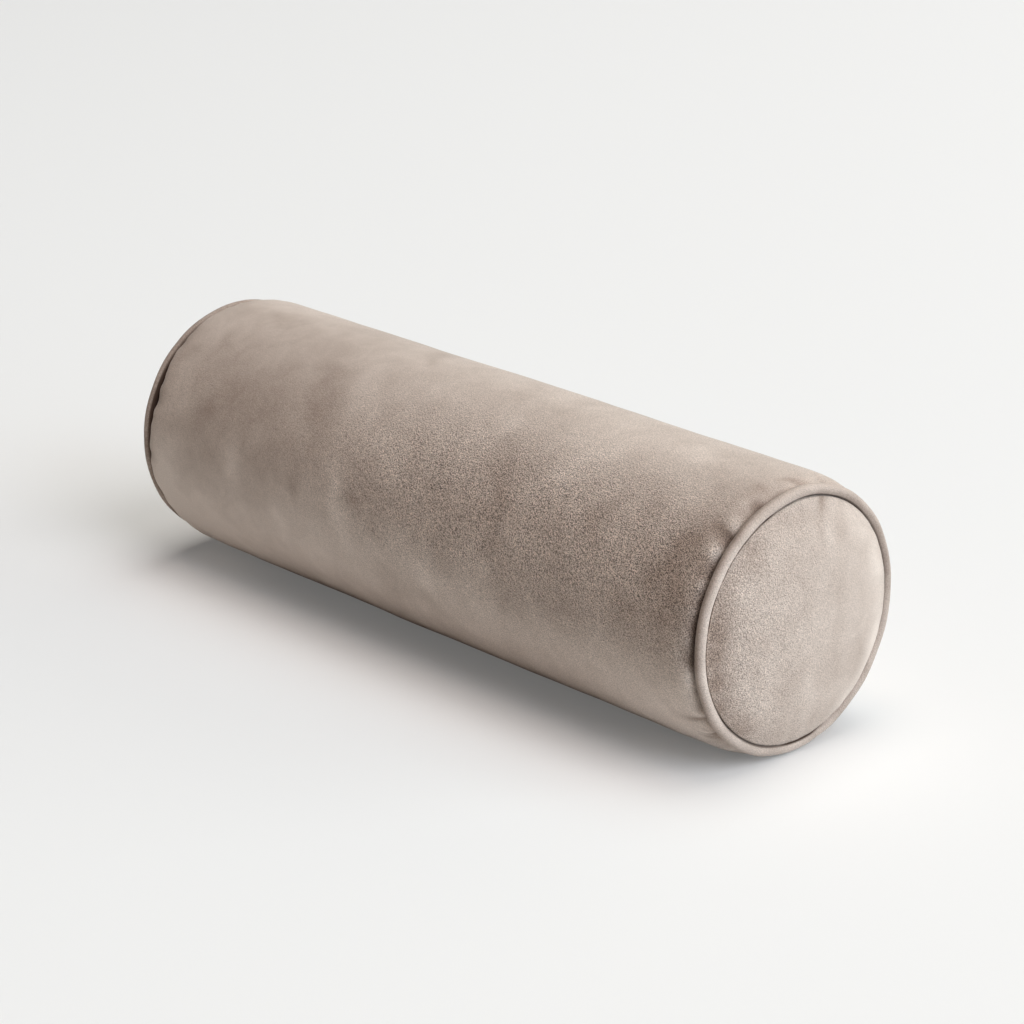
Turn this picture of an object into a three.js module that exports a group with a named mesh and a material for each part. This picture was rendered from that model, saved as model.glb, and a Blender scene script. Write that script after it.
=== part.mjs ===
// A round bolster in suede cloth: a filled body, drawn in at both ends by its seams, a covered
// cord in each seam and a crowned panel over each end.
//
// Sizes are in millimetres. +X runs along the bolster to its near end and +Z is up. The origin is
// under the middle of the bolster, on the surface that it rests on. Angles round the bolster are
// in degrees, from its top over its front (-Y) side.

import * as THREE from 'three';

// Body
const BODY_RADIUS = 75;
const AXIS_HEIGHT = 73.2;        // less than the radius, so the body is pressed flat along its underside
const HALF_LENGTH = 226.5;       // from the middle of the bolster to the plane of each piping
const SHOULDER_LENGTH = 16.2;    // the stretch in which a seam draws the body in

// Piping
const CORD_RADIUS = 3.15;        // the cord with its cover
const CORD_RING_RADIUS = 68.6;   // from the bolster's axis to the middle of the cord

// End panels
const CROWN_HEIGHT = 9.5;        // how far the filling pushes a panel's middle out past its rim
const CLOTH_THICKNESS = 2;
const RIM_ANGLE = 50;            // where the panel's rim meets the cord, from the cord's outer side

const GAP = 0.3;                 // between pieces that touch
const CROWN_GAP = 2 * GAP;       // at a crown's middle: it narrows to about half that at the crown's edge

// Facets
const SEGMENTS = 72;
const CORD_SIDES = 8;
const BODY_STATIONS = [30, 100, 150, 185, 203];   // distances from the middle of the bolster
const SHOULDER_ANGLES = [0, 25, 45, 65, 90];      // degrees round a quarter of each curve
const GROOVE_ANGLES = [60, 30, 0];
const CROWN_ANGLES = [90, 65, 42, 20, 0];

// Gathers beside the seams: where each trough lies round the bolster, its depth at the seam, half
// its width and how far it reaches along the body.
const NEAR_GATHERS = [
  { angle: 22, depth: 0.7, halfWidth: 5, reach: 22 },
  { angle: 42, depth: 1.4, halfWidth: 4, reach: 28 },
  { angle: 56, depth: 0.8, halfWidth: 4, reach: 24 },
  { angle: 93, depth: 1.6, halfWidth: 5, reach: 26 },
  { angle: 107, depth: 0.7, halfWidth: 4, reach: 24 },
  { angle: 123, depth: 1.5, halfWidth: 5, reach: 36 },
  { angle: 137, depth: 1.0, halfWidth: 4, reach: 30 },
  { angle: 212, depth: 1.1, halfWidth: 5, reach: 28 },
  { angle: 246, depth: 0.8, halfWidth: 4, reach: 24 },
  { angle: 271, depth: 1.4, halfWidth: 5, reach: 32 },
  { angle: 304, depth: 0.9, halfWidth: 4, reach: 26 },
  { angle: 338, depth: 0.8, halfWidth: 5, reach: 22 },
];
const FAR_GATHERS = [
  { angle: 8, depth: 0.7, halfWidth: 5, reach: 22 },
  { angle: 39, depth: 1.1, halfWidth: 4, reach: 24 },
  { angle: 57, depth: 1.3, halfWidth: 4, reach: 26 },
  { angle: 70, depth: 1.8, halfWidth: 5, reach: 30 },
  { angle: 96, depth: 1.0, halfWidth: 4, reach: 26 },
  { angle: 112, depth: 0.9, halfWidth: 4, reach: 24 },
  { angle: 141, depth: 1.0, halfWidth: 5, reach: 28 },
  { angle: 219, depth: 0.9, halfWidth: 4, reach: 26 },
  { angle: 252, depth: 1.3, halfWidth: 5, reach: 30 },
  { angle: 287, depth: 0.8, halfWidth: 4, reach: 24 },
  { angle: 325, depth: 1.2, halfWidth: 5, reach: 28 },
];

// Worked out from the sizes above
const CORD_CLEARANCE = CORD_RADIUS + GAP;
const GROOVE_RADIUS = CORD_RADIUS + 2 * GAP;
const RIM_OUT = CORD_CLEARANCE * Math.cos(radians(RIM_ANGLE));
const RIM_RADIUS = CORD_RING_RADIUS - CORD_CLEARANCE * Math.sin(radians(RIM_ANGLE));

const coverCloth = new THREE.MeshStandardMaterial({
  name: 'cover_cloth', color: 0xb4a79e, roughness: 0.95, metalness: 0,
});
const pipingCloth = new THREE.MeshStandardMaterial({
  name: 'piping_cloth', color: 0xb0a298, roughness: 0.95, metalness: 0,
});

function radians(degrees) {
  return THREE.MathUtils.degToRad(degrees);
}

/** A closed surface of revolution about X, from a profile of { along, radius } points. */
function revolve(profile) {
  const points = profile.map(({ along, radius }) => new THREE.Vector2(radius, along));
  const halfFacet = Math.PI / SEGMENTS;   // puts the middle of a facet, not an edge, underneath
  const geometry = new THREE.LatheGeometry(points, SEGMENTS, halfFacet);
  geometry.rotateZ(-Math.PI / 2);
  return geometry;
}

/** One crown, from its rim to its middle, set in by `inset` from the outside of the end panel. */
function crown(inset) {
  return CROWN_ANGLES.map((angle) => ({
    along: HALF_LENGTH + RIM_OUT + (CROWN_HEIGHT - inset) * Math.cos(radians(angle)),
    radius: (RIM_RADIUS - inset) * Math.sin(radians(angle)),
  }));
}

/** The body's near half in section: its side, shoulder, groove for the cord and filled crown. */
function bodyHalfProfile() {
  const side = BODY_STATIONS.map((along) => ({ along, radius: BODY_RADIUS }));
  const shoulder = SHOULDER_ANGLES.map((angle) => ({
    along: HALF_LENGTH - SHOULDER_LENGTH + (SHOULDER_LENGTH - CORD_CLEARANCE) * Math.sin(radians(angle)),
    radius: CORD_RING_RADIUS + (BODY_RADIUS - CORD_RING_RADIUS) * Math.cos(radians(angle)),
  }));
  const groove = GROOVE_ANGLES.map((angle) => ({
    along: HALF_LENGTH - GROOVE_RADIUS * Math.sin(radians(angle)),
    radius: CORD_RING_RADIUS - GROOVE_RADIUS * Math.cos(radians(angle)),
  }));
  return [...side, ...shoulder, ...groove, ...crown(CLOTH_THICKNESS + CROWN_GAP)];
}

/** The smallest turn between two angles, in degrees. */
function turnBetween(a, b) {
  const turn = Math.abs(a - b) % 360;
  return Math.min(turn, 360 - turn);
}

/** How deep the gathers press the body in, at an angle and a distance from the seam. */
function gatherDepth(gathers, angle, fromSeam) {
  let depth = 0;
  for (const gather of gathers) {
    if (fromSeam >= gather.reach) continue;
    const across = turnBetween(angle, gather.angle) / gather.halfWidth;
    const fade = 1 - fromSeam / gather.reach;
    depth += gather.depth * Math.exp(-across * across) * fade * fade;
  }
  return depth;
}

/** The filled body: one closed solid with drawn-in, gathered shoulders and a flat underside. */
function makeBarrel() {
  const nearHalf = bodyHalfProfile();
  const farHalf = nearHalf.map(({ along, radius }) => ({ along: -along, radius })).reverse();
  const geometry = revolve([...farHalf, ...nearHalf]);
  const position = geometry.getAttribute('position');
  for (let i = 0; i < position.count; i += 1) {
    const x = position.getX(i);
    let y = position.getY(i);
    let z = position.getZ(i);
    const radius = Math.hypot(y, z);
    const fromSeam = HALF_LENGTH - Math.abs(x);
    if (fromSeam >= CORD_RADIUS && radius >= CORD_RING_RADIUS - GAP) {
      const angle = THREE.MathUtils.radToDeg(Math.atan2(-y, z));
      const gathers = x > 0 ? NEAR_GATHERS : FAR_GATHERS;
      const scale = 1 - gatherDepth(gathers, angle, fromSeam) / radius;
      y *= scale;
      z *= scale;
    }
    position.setXYZ(i, x, y, Math.max(z, -AXIS_HEIGHT));
  }
  geometry.computeVertexNormals();
  return new THREE.Mesh(geometry, coverCloth);
}

/** A crowned circle of cloth over one end. */
function makeEndPanel() {
  const inside = crown(CLOTH_THICKNESS).reverse();
  return new THREE.Mesh(revolve([...inside, ...crown(0)]), coverCloth);
}

/** The covered cord round one end: a ring that closes on itself. */
function makePiping() {
  const section = [];
  for (let side = 0; side <= CORD_SIDES; side += 1) {
    const angle = (2 * Math.PI * (side % CORD_SIDES)) / CORD_SIDES;
    section.push({
      along: HALF_LENGTH + CORD_RADIUS * Math.sin(angle),
      radius: CORD_RING_RADIUS + CORD_RADIUS * Math.cos(angle),
    });
  }
  return new THREE.Mesh(revolve(section), pipingCloth);
}

const bolster = new THREE.Group();
bolster.position.z = AXIS_HEIGHT;

const barrel = makeBarrel();
barrel.name = 'barrel';
bolster.add(barrel);

for (const [end, turn] of [['near', 0], ['far', Math.PI]]) {
  const fittings = new THREE.Group();
  fittings.rotation.z = turn;
  const panel = makeEndPanel();
  panel.name = `end_panel_${end}`;
  const piping = makePiping();
  piping.name = `piping_${end}`;
  fittings.add(panel, piping);
  bolster.add(fittings);
}

export default bolster;
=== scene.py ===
"""A round bolster in taupe suede cloth, lying on a pale studio floor.

The body and its two end panels are made as one bag, joined along a seam ring at each end. Cloth
simulation with pressure fills the bag, which is then parted at its seams into the pieces that a
maker would cut. A covered cord goes into each seam.

Sizes are in metres unless a name says otherwise. +X runs along the bolster to its near end and +Z
is up. Angles round the bolster are in degrees, from its top over its front (-Y) side.
"""

from __future__ import annotations

import logging
import math
import time
from dataclasses import dataclass, field
from enum import Enum
from typing import Any, Sequence, Union

import bpy
import numpy as np
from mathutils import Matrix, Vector


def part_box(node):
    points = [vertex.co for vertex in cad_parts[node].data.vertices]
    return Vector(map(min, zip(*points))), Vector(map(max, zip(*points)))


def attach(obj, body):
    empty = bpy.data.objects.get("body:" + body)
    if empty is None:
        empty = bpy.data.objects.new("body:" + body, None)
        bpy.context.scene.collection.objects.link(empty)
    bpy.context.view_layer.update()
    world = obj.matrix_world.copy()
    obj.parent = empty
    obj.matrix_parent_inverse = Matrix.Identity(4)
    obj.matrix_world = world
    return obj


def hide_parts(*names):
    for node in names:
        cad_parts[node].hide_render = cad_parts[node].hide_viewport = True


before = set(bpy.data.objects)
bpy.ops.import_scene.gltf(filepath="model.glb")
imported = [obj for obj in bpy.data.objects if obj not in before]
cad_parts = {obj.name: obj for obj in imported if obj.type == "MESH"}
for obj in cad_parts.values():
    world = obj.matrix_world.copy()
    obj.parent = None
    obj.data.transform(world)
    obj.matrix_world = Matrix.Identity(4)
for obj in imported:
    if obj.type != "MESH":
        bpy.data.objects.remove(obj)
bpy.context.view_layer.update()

logging.basicConfig(level=logging.INFO, format="%(message)s")
log = logging.getLogger("bolster")

MM = 0.001
FRAME_FACETS = 72          # flat facets round the frame's solids, which its boxes are measured over
MARKS_RADIUS = 75.0        # the body's radius in millimetres that its marks are placed for
GATHER_WIDENING = 0.8      # how much wider a gather is where it fades out than at its seam
GATHER_FADE = 1.5          # how fast a gather's depth falls away along the body
PUCKER_REACH = 8.0 * MM    # how far along the body its fine puckers reach


class End(Enum):
    """One end of the bolster, by the direction in which it faces along X."""

    NEAR = 1
    FAR = -1

    @property
    def word(self) -> str:
        """The end's name in the frame's nodes."""
        return self.name.lower()


class Part(Enum):
    """What a face of the bag belongs to."""

    BODY = 0
    NEAR_PANEL = 1
    FAR_PANEL = 2


@dataclass(frozen=True)
class BolsterSizes:
    """The bolster's driving sizes.

    Attributes:
        axis_height: From the floor to the middle of the bolster.
        seam: From the middle of the bolster to the plane of each piping.
        cord_radius: The covered cord's radius.
        ring_radius: From the bolster's axis to the middle of the cord.
        body_radius: The filled body's radius.
        rim_out: From the plane of the piping out to the end panel's rim.
        rim_radius: The end panel's radius at its rim.
        crown_height: How far the panel's middle stands out past its rim.
        shoulder: The stretch in which a seam draws the body in.
        cloth: The cloth's thickness.
        gap: Between pieces that touch.
    """

    axis_height: float
    seam: float
    cord_radius: float
    ring_radius: float
    body_radius: float
    rim_out: float
    rim_radius: float
    crown_height: float
    shoulder: float = 16.2 * MM
    cloth: float = 2.0 * MM
    gap: float = 0.3 * MM

    @classmethod
    def from_frame(cls) -> "BolsterSizes":
        """Reads the sizes from the boxes of the frame's nodes.

        Returns:
            The sizes, freed from the small loss that flat facets bring.
        """
        facet = math.cos(math.pi / FRAME_FACETS)
        piping_low, piping_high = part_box("piping_near")
        panel_low, panel_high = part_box("end_panel_near")
        barrel_low, barrel_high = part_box("barrel")
        cord_radius = (piping_high.x - piping_low.x) / 2
        seam = (piping_high.x + piping_low.x) / 2
        ring_outside = (piping_high.y - piping_low.y) / 2 / facet
        return cls(
            axis_height=(panel_high.z + panel_low.z) / 2,
            seam=seam,
            cord_radius=cord_radius,
            ring_radius=ring_outside - cord_radius,
            body_radius=(barrel_high.y - barrel_low.y) / 2 / facet,
            rim_out=panel_low.x - seam,
            rim_radius=(panel_high.y - panel_low.y) / 2 / facet,
            crown_height=panel_high.x - panel_low.x,
        )

    @property
    def clearance(self) -> float:
        """From the middle of the cord to the cloth that lies against it."""
        return self.cord_radius + self.gap

    def placed(self, along: np.ndarray, radius: np.ndarray, turn: np.ndarray) -> np.ndarray:
        """Places points round the bolster's axis.

        Args:
            along: Along X.
            radius: From the axis.
            turn: Round the bolster, in radians.

        Returns:
            The points, one row each.
        """
        across = -radius * np.sin(turn)
        up = self.axis_height + radius * np.cos(turn)
        return np.stack([along, across, up], axis=-1).reshape(-1, 3)

    def widened(self, points: np.ndarray, scale: Union[float, np.ndarray]) -> np.ndarray:
        """Moves points straight away from the bolster's axis, or towards it.

        Args:
            points: The points, one row each.
            scale: How many times as far from the axis they come to lie.

        Returns:
            The moved points.
        """
        up = self.axis_height + (points[:, 2] - self.axis_height) * scale
        return np.column_stack([points[:, 0], points[:, 1] * scale, up])


@dataclass(frozen=True)
class Gather:
    """A trough where the cloth is gathered into an end seam, or a ridge between two troughs.

    Attributes:
        angle: Where it lies round the bolster.
        depth: A trough's depth at the seam in millimetres, or below zero a ridge's height.
        half_width: Half its width, in degrees.
        reach: How far it reaches along the body, in millimetres.
        lean: How far it turns round the bolster on its way, in degrees.
    """

    angle: float
    depth: float
    half_width: float
    reach: float
    lean: float = 0.0


NEAR_GATHERS = (
    Gather(angle=8, depth=0.9, half_width=4.0, reach=14, lean=2),
    Gather(angle=22, depth=3.6, half_width=3.4, reach=11, lean=-2),
    Gather(angle=36, depth=-1.5, half_width=3.2, reach=15, lean=-2),
    Gather(angle=42, depth=3.7, half_width=2.4, reach=20, lean=-5),
    Gather(angle=49, depth=-2.2, half_width=3.2, reach=16, lean=-1),
    Gather(angle=56, depth=2.6, half_width=2.2, reach=14, lean=2),
    Gather(angle=61, depth=-0.8, half_width=2.6, reach=13, lean=1),
    Gather(angle=67, depth=1.4, half_width=2.6, reach=12, lean=0),
    Gather(angle=80, depth=1.0, half_width=2.6, reach=10, lean=0),
    Gather(angle=95, depth=3.4, half_width=3.2, reach=13, lean=-4),
    Gather(angle=101, depth=-0.9, half_width=2.8, reach=13, lean=0),
    Gather(angle=107, depth=1.4, half_width=2.4, reach=12, lean=3),
    Gather(angle=115, depth=2.2, half_width=2.8, reach=12, lean=3),
    Gather(angle=121, depth=-1.1, half_width=2.4, reach=16, lean=-3),
    Gather(angle=126, depth=2.6, half_width=2.2, reach=18, lean=-6),
    Gather(angle=130, depth=-0.9, half_width=2.0, reach=16, lean=-2),
    Gather(angle=134, depth=2.4, half_width=2.2, reach=18, lean=3),
    Gather(angle=139, depth=1.6, half_width=1.7, reach=20, lean=3),
    Gather(angle=143, depth=1.3, half_width=1.7, reach=16, lean=4),
    Gather(angle=155, depth=0.9, half_width=3.0, reach=16, lean=3),
    Gather(angle=212, depth=1.6, half_width=3.4, reach=22, lean=6),
    Gather(angle=231, depth=0.8, half_width=2.6, reach=12, lean=2),
    Gather(angle=246, depth=1.2, half_width=3.0, reach=18, lean=-4),
    Gather(angle=271, depth=2.0, half_width=3.0, reach=24, lean=5),
    Gather(angle=280, depth=-0.7, half_width=3.0, reach=16, lean=3),
    Gather(angle=288, depth=1.0, half_width=2.4, reach=12, lean=-2),
    Gather(angle=304, depth=1.4, half_width=3.0, reach=20, lean=-6),
    Gather(angle=338, depth=1.1, half_width=3.4, reach=16, lean=4),
)
FAR_GATHERS = (
    Gather(angle=9, depth=0.3, half_width=4.0, reach=14, lean=3),
    Gather(angle=30, depth=0.9, half_width=2.0, reach=9, lean=1),
    Gather(angle=39, depth=1.5, half_width=2.2, reach=14, lean=-3),
    Gather(angle=52, depth=1.0, half_width=1.9, reach=9, lean=1),
    Gather(angle=58, depth=1.7, half_width=2.2, reach=14, lean=3),
    Gather(angle=64, depth=-0.5, half_width=2.2, reach=10, lean=0),
    Gather(angle=70, depth=2.4, half_width=2.8, reach=20, lean=-5),
    Gather(angle=77, depth=1.1, half_width=1.9, reach=9, lean=1),
    Gather(angle=84, depth=1.6, half_width=2.2, reach=13, lean=3),
    Gather(angle=96, depth=1.5, half_width=2.4, reach=16, lean=-4),
    Gather(angle=104, depth=-0.5, half_width=2.6, reach=12, lean=2),
    Gather(angle=112, depth=1.3, half_width=2.4, reach=15, lean=5),
    Gather(angle=127, depth=0.8, half_width=2.6, reach=12, lean=2),
    Gather(angle=141, depth=1.4, half_width=3.2, reach=20, lean=-6),
    Gather(angle=205, depth=0.8, half_width=2.6, reach=12, lean=2),
    Gather(angle=219, depth=1.3, half_width=3.0, reach=18, lean=5),
    Gather(angle=238, depth=0.8, half_width=2.2, reach=10, lean=-1),
    Gather(angle=252, depth=1.9, half_width=3.2, reach=22, lean=-6),
    Gather(angle=261, depth=-0.6, half_width=2.8, reach=14, lean=-2),
    Gather(angle=287, depth=1.2, half_width=3.0, reach=17, lean=4),
    Gather(angle=302, depth=0.8, half_width=2.2, reach=10, lean=1),
    Gather(angle=325, depth=1.6, half_width=3.2, reach=20, lean=-4),
)
NEAR_PANEL_GATHERS = (
    Gather(angle=15, depth=0.3, half_width=3.5, reach=14, lean=3),
    Gather(angle=38, depth=0.35, half_width=3.0, reach=14, lean=-3),
    Gather(angle=80, depth=0.35, half_width=3.0, reach=12, lean=3),
    Gather(angle=92, depth=0.35, half_width=3.0, reach=12, lean=-3),
    Gather(angle=105, depth=0.6, half_width=3.0, reach=18, lean=4),
    Gather(angle=118, depth=0.35, half_width=3.0, reach=12, lean=-3),
    Gather(angle=139, depth=0.35, half_width=3.5, reach=14, lean=3),
    Gather(angle=173, depth=0.3, half_width=3.5, reach=12, lean=3),
    Gather(angle=205, depth=0.35, half_width=3.5, reach=14, lean=-4),
    Gather(angle=290, depth=0.25, half_width=3.5, reach=12, lean=4),
    Gather(angle=335, depth=0.3, half_width=3.0, reach=18, lean=-5),
    Gather(angle=347, depth=0.9, half_width=2.6, reach=26, lean=6),
)
FAR_PANEL_GATHERS = (
    Gather(angle=12, depth=0.5, half_width=3.5, reach=20, lean=4),
    Gather(angle=47, depth=0.3, half_width=3.0, reach=14, lean=-3),
    Gather(angle=88, depth=0.5, half_width=3.5, reach=18, lean=5),
    Gather(angle=131, depth=0.35, half_width=3.0, reach=14, lean=-4),
    Gather(angle=176, depth=0.45, half_width=3.5, reach=16, lean=3),
    Gather(angle=223, depth=0.35, half_width=3.0, reach=14, lean=-5),
    Gather(angle=262, depth=0.5, half_width=3.5, reach=20, lean=4),
    Gather(angle=309, depth=0.4, half_width=3.0, reach=16, lean=-3),
)
BODY_GATHERS = {End.NEAR: NEAR_GATHERS, End.FAR: FAR_GATHERS}
PANEL_GATHERS = {End.NEAR: NEAR_PANEL_GATHERS, End.FAR: FAR_PANEL_GATHERS}


def turn_between(a: np.ndarray, b: Union[float, np.ndarray]) -> np.ndarray:
    """The signed turn from b to a, in degrees from -180 to 180."""
    return (a - b + 180.0) % 360.0 - 180.0


def smooth(x: np.ndarray) -> np.ndarray:
    """A soft step from 0 to 1 as x goes from 0 to 1."""
    t = np.clip(x, 0.0, 1.0)
    return t * t * (3.0 - 2.0 * t)


def bell(x: np.ndarray) -> np.ndarray:
    """A rounded hump, 1 where x is zero."""
    return np.exp(-x * x)


def plateau(x: np.ndarray) -> np.ndarray:
    """A hump with a flat top, 1 where x is zero."""
    return np.exp(-(x**4))


@dataclass(frozen=True)
class Stretch:
    """A stretch round the bolster.

    Attributes:
        angle: The stretch's middle.
        half_width: Half its width, in degrees.
    """

    angle: float
    half_width: float

    def flat(self, angle: np.ndarray) -> np.ndarray:
        """How much of the stretch there is at each angle, all of it over most of its width."""
        return plateau(turn_between(angle, self.angle) / self.half_width)

    def rounded(self, angle: np.ndarray) -> np.ndarray:
        """How much of the stretch there is at each angle, all of it only in its middle."""
        return bell(turn_between(angle, self.angle) / self.half_width)


@dataclass
class MeshData:
    """Points and quads on the way to becoming a mesh.

    Attributes:
        points: The places of the vertices, one row each.
        quads: The four vertices of each face, one row each, turned to face outwards.
        part: The Part value of each face.
    """

    points: np.ndarray
    quads: np.ndarray
    part: np.ndarray

    def to_object(self, name: str) -> bpy.types.Object:
        """Makes a smooth-shaded object.

        Args:
            name: The object's name.

        Returns:
            The object, linked to the scene.
        """
        mesh = bpy.data.meshes.new(name)
        mesh.from_pydata(self.points.tolist(), [], self.quads.tolist())
        mesh.polygons.foreach_set("material_index", self.part.astype(np.int32))
        mesh.polygons.foreach_set("use_smooth", np.ones(len(self.quads), dtype=bool))
        mesh.update()
        piece = bpy.data.objects.new(name, mesh)
        bpy.context.scene.collection.objects.link(piece)
        return piece

    @classmethod
    def from_mesh(cls, mesh: bpy.types.Mesh) -> "MeshData":
        """Reads a mesh made of quads back into arrays.

        Args:
            mesh: The mesh.

        Returns:
            Its points and quads, with each face's material number as its part.
        """
        points = np.empty(len(mesh.vertices) * 3)
        mesh.vertices.foreach_get("co", points)
        quads = np.empty(len(mesh.loops), dtype=np.int32)
        mesh.loops.foreach_get("vertex_index", quads)
        part = np.empty(len(mesh.polygons), dtype=np.int32)
        mesh.polygons.foreach_get("material_index", part)
        return cls(points.reshape(-1, 3), quads.reshape(-1, 4), part)

    def subdivided(self, rounds: int) -> "MeshData":
        """Subdivides the mesh smoothly.

        Args:
            rounds: How many times each quad is parted into four.

        Returns:
            The finer mesh.
        """
        piece = self.to_object("subdividing")
        modifier = piece.modifiers.new("Subdivision", "SUBSURF")
        modifier.levels = rounds
        graph = bpy.context.evaluated_depsgraph_get()
        mesh = bpy.data.meshes.new_from_object(piece.evaluated_get(graph))
        finer = MeshData.from_mesh(mesh)
        old = piece.data
        bpy.data.objects.remove(piece)
        bpy.data.meshes.remove(old)
        bpy.data.meshes.remove(mesh)
        return finer


@dataclass
class Bag:
    """The bag before it is filled: the body and both end panels in one closed mesh.

    Attributes:
        sizes: The bolster's driving sizes.
        cells: Faces across each end panel. The body has four times as many round it.
        side_rows: Rows of faces from the middle of the body to each shoulder.
        shoulder_rows: Rows of faces over each shoulder.
        slack: How much smaller than its filled size the body starts.
        crown_slack: How much lower than its filled size each crown starts.
        crowding: How much closer the body's rows lie towards the shoulders.
        groove_turns: Where the cloth's rows lie round the cord, in degrees from its inner side.
    """

    sizes: BolsterSizes
    cells: int = 24
    side_rows: int = 18
    shoulder_rows: int = 5
    slack: float = 0.6 * MM
    crown_slack: float = 1.6 * MM
    crowding: float = 1.35
    groove_turns: tuple[float, ...] = (45.0, 90.0, 130.0)

    def half_profile(self) -> np.ndarray:
        """Draws the body in section.

        Returns:
            Rows of along and radius, from the body's middle to the panel's rim.
        """
        s = self.sizes
        start = s.seam - s.shoulder
        girth_radius = s.body_radius - self.slack
        side = []
        for row in range(self.side_rows):
            along = s.seam - s.shoulder - start * (1 - row / self.side_rows) ** self.crowding
            side.append((along, girth_radius))
        shoulder = []
        for row in range(self.shoulder_rows + 1):
            turn = math.radians(90.0 * row / self.shoulder_rows)
            along = start + (s.shoulder - s.clearance) * math.sin(turn)
            radius = s.ring_radius + (girth_radius - s.ring_radius) * math.cos(turn)
            shoulder.append((along, radius))
        groove = []
        for degrees in self.groove_turns:
            turn = math.radians(degrees)
            along = s.seam - s.clearance * math.cos(turn)
            groove.append((along, s.ring_radius - s.clearance * math.sin(turn)))
        return np.array(side + shoulder + groove)

    def disc(self) -> tuple[np.ndarray, np.ndarray]:
        """A square grid of points pressed into a disc.

        Returns:
            The distance of each point from the middle, from 0 to 1, and its angle in degrees.
        """
        steps = np.linspace(-1.0, 1.0, self.cells + 1)
        a, b = np.meshgrid(steps, steps, indexing="ij")
        wide = np.abs(a) > np.abs(b)
        safe_a = np.where(a == 0, 1.0, a)
        safe_b = np.where(b == 0, 1.0, b)
        share = np.where(wide, a, b)
        angle = np.where(wide, 45.0 * b / safe_a, 90.0 - 45.0 * a / safe_b)
        angle = np.where(share < 0, angle + 180.0, angle)
        return np.abs(share), angle % 360.0

    def build(self) -> MeshData:
        """Makes the bag.

        Returns:
            Its points, quads and parts.
        """
        s = self.sizes
        half = self.half_profile()
        far_half = half[:0:-1] * (-1.0, 1.0)
        profile = np.vstack([far_half, half])
        around = 4 * self.cells
        angles = np.radians(np.arange(around) * 360.0 / around)
        along = np.repeat(profile[:, 0], around)
        radius = np.repeat(profile[:, 1], around)
        turn = np.tile(angles, len(profile))
        points = s.placed(along, radius, turn)

        rows, columns = np.meshgrid(np.arange(len(profile) - 1), np.arange(around), indexing="ij")
        following = (columns + 1) % around
        body = np.stack(
            [
                rows * around + columns,
                rows * around + following,
                (rows + 1) * around + following,
                (rows + 1) * around + columns,
            ],
            axis=-1,
        ).reshape(-1, 4)
        quads = [body]
        part = [np.full(len(body), Part.BODY.value)]

        share, disc_angle = self.disc()
        boundary = share > 1.0 - 1e-9
        crown_turn = np.radians(90.0 * share)
        last_row = len(profile) - 1
        for end, panel, rim_row in ((End.NEAR, Part.NEAR_PANEL, last_row), (End.FAR, Part.FAR_PANEL, 0)):
            index = np.empty(share.shape, dtype=int)
            column = np.rint(disc_angle * around / 360.0).astype(int) % around
            index[boundary] = rim_row * around + column[boundary]
            inside = ~boundary
            index[inside] = len(points) + np.arange(inside.sum())
            r = s.rim_radius * np.sin(crown_turn[inside])
            x = s.seam + s.rim_out + (s.crown_height - self.crown_slack) * np.cos(crown_turn[inside])
            cap = s.placed(end.value * x, r, np.radians(disc_angle[inside]))
            points = np.vstack([points, cap])
            faces = np.stack(
                [index[:-1, :-1], index[1:, :-1], index[1:, 1:], index[:-1, 1:]], axis=-1
            ).reshape(-1, 4)
            if end is End.FAR:
                faces = faces[:, ::-1]
            quads.append(faces)
            part.append(np.full(len(faces), panel.value))
        return MeshData(points, np.vstack(quads), np.concatenate(part))


@dataclass
class RoundPlace:
    """Where points lie on the bolster.

    Attributes:
        along: Along X.
        radius: From the axis.
        angle: Round the bolster, in degrees.
        from_seam: From the plane of the nearer piping, towards the middle of the bolster.
    """

    along: np.ndarray
    radius: np.ndarray
    angle: np.ndarray
    from_seam: np.ndarray

    @classmethod
    def of(cls, points: np.ndarray, sizes: BolsterSizes) -> "RoundPlace":
        """Measures points.

        Args:
            points: The points, one row each.
            sizes: The bolster's driving sizes.

        Returns:
            Where each point lies.
        """
        y = points[:, 1]
        z = points[:, 2] - sizes.axis_height
        return cls(
            along=points[:, 0],
            radius=np.hypot(y, z),
            angle=np.degrees(np.arctan2(-y, z)) % 360.0,
            from_seam=sizes.seam - np.abs(points[:, 0]),
        )


def gather_depth(gathers: Sequence[Gather], place: RoundPlace) -> np.ndarray:
    """How deep the gathers of one seam press the cloth in.

    Args:
        gathers: The gathers.
        place: The points of the cloth beside that seam.

    Returns:
        A depth for each point.
    """
    depth = np.zeros(len(place.along))
    for gather in gathers:
        share = np.clip(place.from_seam / (gather.reach * MM), 0.0, 1.0)
        middle = gather.angle + gather.lean * share
        width = gather.half_width * (1.0 + GATHER_WIDENING * share)
        across = turn_between(place.angle, middle) / width
        depth += gather.depth * MM * bell(across) * (1.0 - share) ** GATHER_FADE
    return depth


def body_gathers(place: RoundPlace) -> np.ndarray:
    """How deep the gathers of both seams press the body in.

    Args:
        place: The body's points.

    Returns:
        A depth for each point.
    """
    depth = np.zeros(len(place.along))
    for end, gathers in BODY_GATHERS.items():
        depth += gather_depth(gathers, place) * (place.along * end.value > 0)
    return depth


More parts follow.
